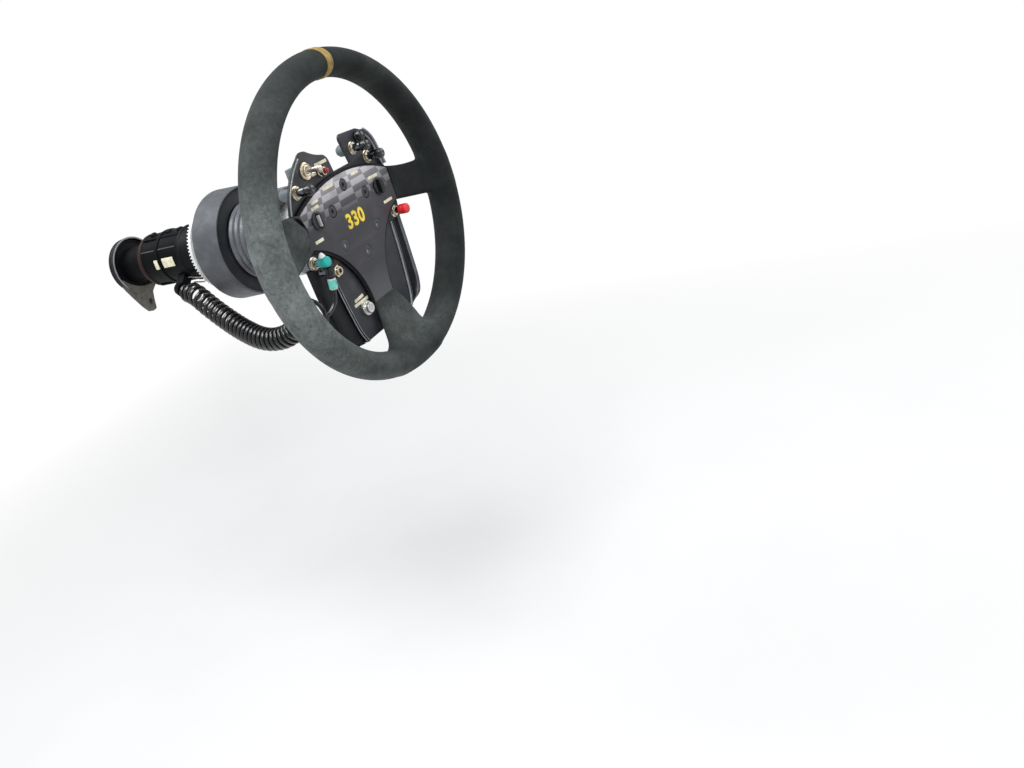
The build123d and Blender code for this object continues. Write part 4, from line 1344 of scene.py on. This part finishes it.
def add_switch_bodies():
    """The switches' backs behind the carrier, each with two solder tags."""
    parts = []
    for index, (x, z) in enumerate((*PUSH_PLACES, RED_PLACE, TEAL_PLACE)):
        profile = [
            (0.0, CARRIER_REAR),
            (BODY_RADIUS, CARRIER_REAR),
            (BODY_RADIUS, CARRIER_REAR + 0.0125, 0.0008),
            (0.0045, CARRIER_REAR + 0.0135, 0.0004),
            (0.0045, CARRIER_REAR + 0.0150, 0.0004),
            (0.0, CARRIER_REAR + 0.0150),
        ]
        parts.append(lathe(f"body_{index}", profile, BODY_PLASTIC, (x, z), 32, 0.0003))
        for side in (-1, 1):
            tag = oblong(-0.0010, -0.0003, 0.0010, 0.0003)
            outline = [(x + px, z + side * 0.0022 + pz) for px, pz in tag]
            front, back = CARRIER_REAR + 0.0149, CARRIER_REAR + 0.0158
            parts.append(slab(f"tag_{index}_{side}", outline, front, back, SILVER, 0.0001, 1))
    x, z = TOGGLE_PLACE
    box = oblong(x - 0.006, z - 0.006, x + 0.006, z + 0.006)
    outline = rounded(box, 0.001, 3)
    parts.append(slab("toggle_body", outline, CARRIER_REAR, CARRIER_REAR + 0.0157, BODY_PLASTIC, 0.0006))
    dress(joined("switch_backs", parts), "wheel", "black_plastic", "switch_bodies")


# Hub, bellows, cup and toothed ring


def add_hub():
    adapter = [
        (0.0100, CARRIER),
        (0.0210, CARRIER),
        (0.0210, CARRIER_REAR + 0.001),
        (0.0400, CARRIER_REAR + 0.001),
        (0.0400, CARRIER_REAR + 0.011, 0.001),
        (0.0335, CARRIER_REAR + 0.015, 0.002),
        (0.0335, 0.0480, 0.0004),
        (0.0325, 0.0486, 0.0004),
        (0.0325, 0.0520, 0.0004),
        (0.0335, 0.0526, 0.0004),
        (0.0335, 0.0820),
        (0.0310, 0.0820),
        (0.0310, 0.0850),
        (0.0100, 0.0850),
    ]
    dress(lathe("turned_adapter", adapter, ALUMINIUM, segments=128), "wheel", "bare_aluminium", "hub_adapter")
    boss = [
        (0.0100, 0.0850),
        (0.0450, 0.0850),
        (0.0460, 0.0860),
        (0.0460, 0.0960, 0.0004),
        (0.0445, 0.0970, 0.0003),
        (0.0445, 0.0990, 0.0003),
        (0.0460, 0.1000, 0.0004),
        (0.0460, 0.1100),
        (0.0100, 0.1100),
    ]
    dress(lathe("turned_boss", boss, ALUMINIUM, segments=128), "wheel", "bare_aluminium", "boss_ring")

    folds = [(0.0140, 0.1100)]
    for index in range(5):
        start = 0.1100 + index * 0.0077
        folds += [
            (0.0375, start, 0.0006),
            (0.0405, start + 0.0013, 0.0010),
            (0.0428, start + 0.0038, 0.0013),
            (0.0405, start + 0.0064, 0.0010),
        ]
    folds += [(0.0375, 0.1485), (0.0140, 0.1485)]
    bellows = lathe("folded_bellows", folds, RUBBER, segments=128, radius=0.0006, sharp=60)
    dress(bellows, "wheel", "rubber", "bellows")

    cup = [
        (0.0100, 0.1500),
        (0.0400, 0.1500, 0.001),
        (0.0420, 0.1486, 0.0008),
        (0.0545, 0.1494, 0.001),
        (0.0558, 0.1478, 0.0008),
        (0.0562, 0.1468, 0.0004),
        (0.0576, 0.1468, 0.0004),
        (0.0581, 0.1490, 0.0006),
        (0.0592, 0.1800, 0.0010),
        (0.0580, 0.1810, 0.0006),
        (0.0560, 0.1810),
        (0.0550, 0.1760),
        (0.0100, 0.1760),
    ]
    piece = lathe("grey_cup", cup, GREY_PLASTIC, segments=160, radius=0.0004)
    piece.data.materials.append(DARK_PLASTIC)
    for polygon in piece.data.polygons:
        middle = polygon.center
        if middle.y < RIM_Y + 0.1510 and hypot(middle.x, middle.z) < 0.0560:
            polygon.material_index = 1
    dress(piece, "wheel", "grey_plastic", "cup")

    teeth = []
    for index in range(76):
        for share, radius in ((-0.3, 0.0439), (-0.16, 0.0458), (0.16, 0.0458), (0.3, 0.0439)):
            turn = 2 * pi * (index + share) / 76
            teeth.append((radius * cos(turn), radius * sin(turn)))
    bore = ring(0, 0, 0.0101, 48)
    parts = [slab("ring_teeth", teeth, 0.2002, 0.2025, WHITE_PLASTIC, 0.00015, 1, holes=[bore])]
    band = [
        (0.0101, 0.1810), (0.0160, 0.1810), (0.0160, 0.1975, 0.0008), (0.0452, 0.1975),
        (0.0458, 0.1981), (0.0458, 0.2003), (0.0101, 0.2003),
    ]
    parts.append(lathe("ring_band", band, WHITE_PLASTIC, segments=160, radius=0.0003))
    dress(joined("toothed_ring", parts), "wheel", "white_plastic", "angle_ring")


# Column head

def spot(radius, behind, angle):
    """A point round the column's axis."""
    return at(radius * cos(radians(angle)), behind, radius * sin(radians(angle)))


def column_patch(name, radius, first, last, low, high, material, rise=0.0004):
    """A thin patch on the housing, from one distance behind to another and between two angles."""
    points, faces = [], []
    rows, columns = 8, 12
    for row in range(rows + 1):
        behind = first + (last - first) * row / rows
        for column in range(columns + 1):
            angle = radians(low + (high - low) * column / columns)
            points.append(at((radius + rise) * cos(angle), behind, (radius + rise) * sin(angle)))
    for row in range(rows):
        for column in range(columns):
            corner = row * (columns + 1) + column
            faces.append((corner, corner + 1, corner + columns + 2, corner + columns + 1))
    patch = from_faces(name, points, faces, material, 40)
    solid = patch.modifiers.new("thick", "SOLIDIFY")
    solid.thickness = 0.0008
    solid.offset = 1.0 if high < low else -1.0
    mesh = evaluated(patch)
    clean(mesh)
    return from_mesh(name, mesh, material, 30)


def add_column():
    profile = [
        (0.0140, 0.2070),
        (0.0285, 0.2070),
        (0.0300, 0.2085, 0.001),
        (0.0300, 0.2320, 0.0005),
        (0.0310, 0.2330, 0.0005),
        (0.0310, 0.2365, 0.0005),
        (0.0298, 0.2375, 0.0005),
        (0.0298, 0.2620, 0.0004),
        (0.0296, 0.2662, 0.0003),
        (0.0309, 0.2664, 0.0005),
        (0.0309, 0.2697, 0.0005),
        (0.0295, 0.2699, 0.0003),
        (0.0286, 0.2942, 0.0003),
        (0.0297, 0.2944, 0.0005),
        (0.0297, 0.2977, 0.0005),
        (0.0283, 0.2979, 0.0003),
        (0.0282, 0.3010, 0.0006),
        (0.0262, 0.3010, 0.0005),
        (0.0262, 0.2950),
        (0.0200, 0.2950),
        (0.0200, 0.3400),
        (0.0140, 0.3400),
    ]
    shell = lathe("housing_shell", profile, HOUSING, segments=128, radius=0.0004)
    for material in (COPPER, HOUSING_FRONT, PAINTED_SHADE):
        shell.data.materials.append(material)
    # Copper at the rear rim, painted shade in the rear bore, and grey at the front.
    for polygon in shell.data.polygons:
        behind = polygon.center.y - RIM_Y
        if behind > 0.2940 and hypot(polygon.center.x, polygon.center.z) > 0.0255:
            polygon.material_index = 1
        elif behind > 0.2940:
            polygon.material_index = 3
        elif behind < 0.2370:
            polygon.material_index = 2
    parts = [shell]
    # Two flanges where the halves of the housing meet, with screw bosses along the upper one
    for side, angle in (("upper", 118.0), ("lower", 238.0)):
        line = [spot(0.0298, behind, angle) for behind in np.linspace(0.2380, 0.2925, 12)]
        parts.append(tube(f"{side}_flange", line, 0.0013, HOUSING, 10))
    for behind in (0.2420, 0.2590, 0.2840):
        boss = [spot(radius, behind, 100) for radius in (0.0280, 0.0310, 0.0316)]
        parts.append(tube("screw_boss", boss, [0.0040, 0.0038, 0.0030], HOUSING, 20))
    for first, last, radius in ((0.2390, 0.2650, 0.0299), (0.2720, 0.2930, 0.0290)):
        seam = [spot(radius, behind, 147) for behind in np.linspace(first, last, 8)]
        parts.append(tube("seam_line", seam, 0.0008, SEAM_DARK, 8))
    parts.append(column_patch("column_label", 0.0295, 0.2445, 0.2612, 167, 187, CREAM))
    parts.append(column_patch("column_label_small", 0.0309, 0.2672, 0.2722, 168, 187, CREAM))
    dress(joined("housing", parts), "column", "black_plastic", "column_housing")

    lip = [(0.0304, 0.3402), (0.0304, 0.3358, 0.0003), (0.0326, 0.3358, 0.0007), (0.0310, 0.3402)]
    shell = lathe("mount_lip", lip, LIP, segments=128, radius=0.0003)
    # The lip's front face: a painted highlight.
    shell.data.materials.append(PAINTED_HIGHLIGHT)
    for polygon in shell.data.polygons:
        if polygon.center.y < RIM_Y + 0.3361:
            polygon.material_index = 1
    groove = [(0.0276, 0.3402), (0.0276, 0.3385, 0.0003), (0.0286, 0.3385, 0.0003), (0.0286, 0.3402)]
    inner_ring = lathe("mount_groove", groove, LIP, segments=96, radius=0.0003)
    holes = [ring(0, 0, 0.0140, 48)] + [ring(x, z, 0.00275, 24) for x, z in ring(0, 0, 0.025, 4, 45)]
    floor = slab("mount_floor", ring(0, 0, 0.0312, 96), 0.3400, 0.3450, LIP, 0.0004, holes=holes)
    # A near-black disc over the floor's front: painted shade that closes the four bolt holes from the front.
    shade_disc = slab("mount_shade_disc", ring(0, 0, 0.0304, 96), 0.3395, 0.3402, PAINTED_SHADE, 0.0001, 1, holes=holes[:1])
    arm = [(-0.0292, -0.0090, 0.0010), (-0.0245, -0.0225), (-0.0190, -0.0345)]
    arm += [(-0.0125, -0.0475), (-0.0065, -0.0565)]
    arm += [(-0.0005, -0.0555), (0.0022, -0.0450), (0.0052, -0.0360), (0.0150, -0.0290, 0.0010)]
    arm += [(*point, 0.0) for point in arc((0.0145, -0.0268), (-0.0130, -0.0212), (-0.0285, -0.0075), 20)]
    hole = ring(-0.0040, -0.0450, 0.0033, 28)
    web = slab("mount_arm", rounded(arm, 0.002, 4), 0.3350, 0.3440, CAST, 0.0008, holes=[hole])
    piece = joined("mount_casting", [shell, inner_ring, floor, shade_disc, web])
    dress(piece, "column", "cast", "mount_bracket")

    # The spring clip that ends at the toothed ring
    upper = [spot(0.0310, 0.2420, 222), spot(0.0312, 0.2260, 229), spot(0.0330, 0.2120, 219)]
    lower = [spot(0.0340, 0.2410, 238), spot(0.0365, 0.2220, 234), spot(0.0410, 0.2070, 216)]
    wires = [tube("clip_wire", line, 0.0009, SATIN, 10) for line in (upper, lower)]
    dress(joined("spring_clip", wires), "column", "steel")


# Stage


def add_stage():
    """A pale floor well below the wheel, a soft world and large soft lamps."""
    scene = bpy.context.scene
    scene.view_settings.view_transform = "Standard"
    floor_z = -0.62
    reach = 40.0
    corners = [(x, y, floor_z) for x, y in oblong(-reach, -reach, reach, reach)]
    finish = Finish("floor", shade((244, 244, 243)), 0.8)
    finish.tint(finish.noise(0.4, 0.4, 0.7), shade((240, 240, 239)))
    sides = [finish.math("ABSOLUTE", finish.axis(name)) for name in ("X", "Y")]
    away = finish.math("MAXIMUM", *sides)
    glow = finish.add("ShaderNodeEmission")
    rays = finish.add("ShaderNodeLightPath")
    finish.plug(glow.inputs["Strength"], finish.ranged(rays.outputs["Is Camera Ray"], 0, 1, 0.55, 1.0))
    fade = finish.add("ShaderNodeMixShader")
    output = finish.tree.nodes["Material Output"]
    finish.plug(fade.inputs[0], finish.ranged(away, 0.35, 1.5))
    finish.plug(fade.inputs[1], finish.shader.outputs[0])
    finish.plug(fade.inputs[2], glow.outputs[0])
    finish.plug(output.inputs["Surface"], fade.outputs[0])
    floor = from_faces("floor", corners, [(0, 1, 2, 3)], finish.material)

    world = bpy.data.worlds.new("studio")
    scene.world = world
    world.use_nodes = True
    tree = world.node_tree
    tree.nodes.clear()
    rays = tree.nodes.new("ShaderNodeLightPath")
    soft = tree.nodes.new("ShaderNodeBackground")
    soft.inputs["Color"].default_value = (0.93, 0.96, 1.0, 1)
    soft.inputs["Strength"].default_value = 0.48
    white = tree.nodes.new("ShaderNodeBackground")
    white.inputs["Color"].default_value = (1, 1, 1, 1)
    choose = tree.nodes.new("ShaderNodeMixShader")
    output = tree.nodes.new("ShaderNodeOutputWorld")
    tree.links.new(rays.outputs["Is Camera Ray"], choose.inputs["Fac"])
    tree.links.new(soft.outputs[0], choose.inputs[1])
    tree.links.new(white.outputs[0], choose.inputs[2])
    tree.links.new(choose.outputs[0], output.inputs["Surface"])

    # Lamps: name, place, point aimed at, side, power
    lamps = (
        ("key", (-0.9, -0.9, 1.5), (0, -0.25, 0), 0.9, 28),
        ("fill", (1.2, -1.2, 0.6), (0, -0.3, 0), 1.2, 8),
        ("top", (-0.3, 0.6, 1.4), (0, -0.2, 0), 1.0, 12),
    )
    for name, place, aim, side, power in lamps:
        data = bpy.data.lights.new(name, "AREA")
        data.shape = "SQUARE"
        data.size = side
        data.energy = power
        lamp = link(bpy.data.objects.new(name, data))
        lamp.location = place
        lamp.rotation_euler = (Vector(aim) - Vector(place)).to_track_quat("-Z", "Y").to_euler()


add_camera()
paint_frame()
add_cord()
add_suede()
add_mark()
add_face()
add_knob("left", -0.0570, 0.0173, True)
add_knob("right", 0.0540, 0.0160, False)
add_carrier()
add_push_buttons()
add_small_controls()
add_switch_bodies()
add_hub()
add_column()
add_stage()
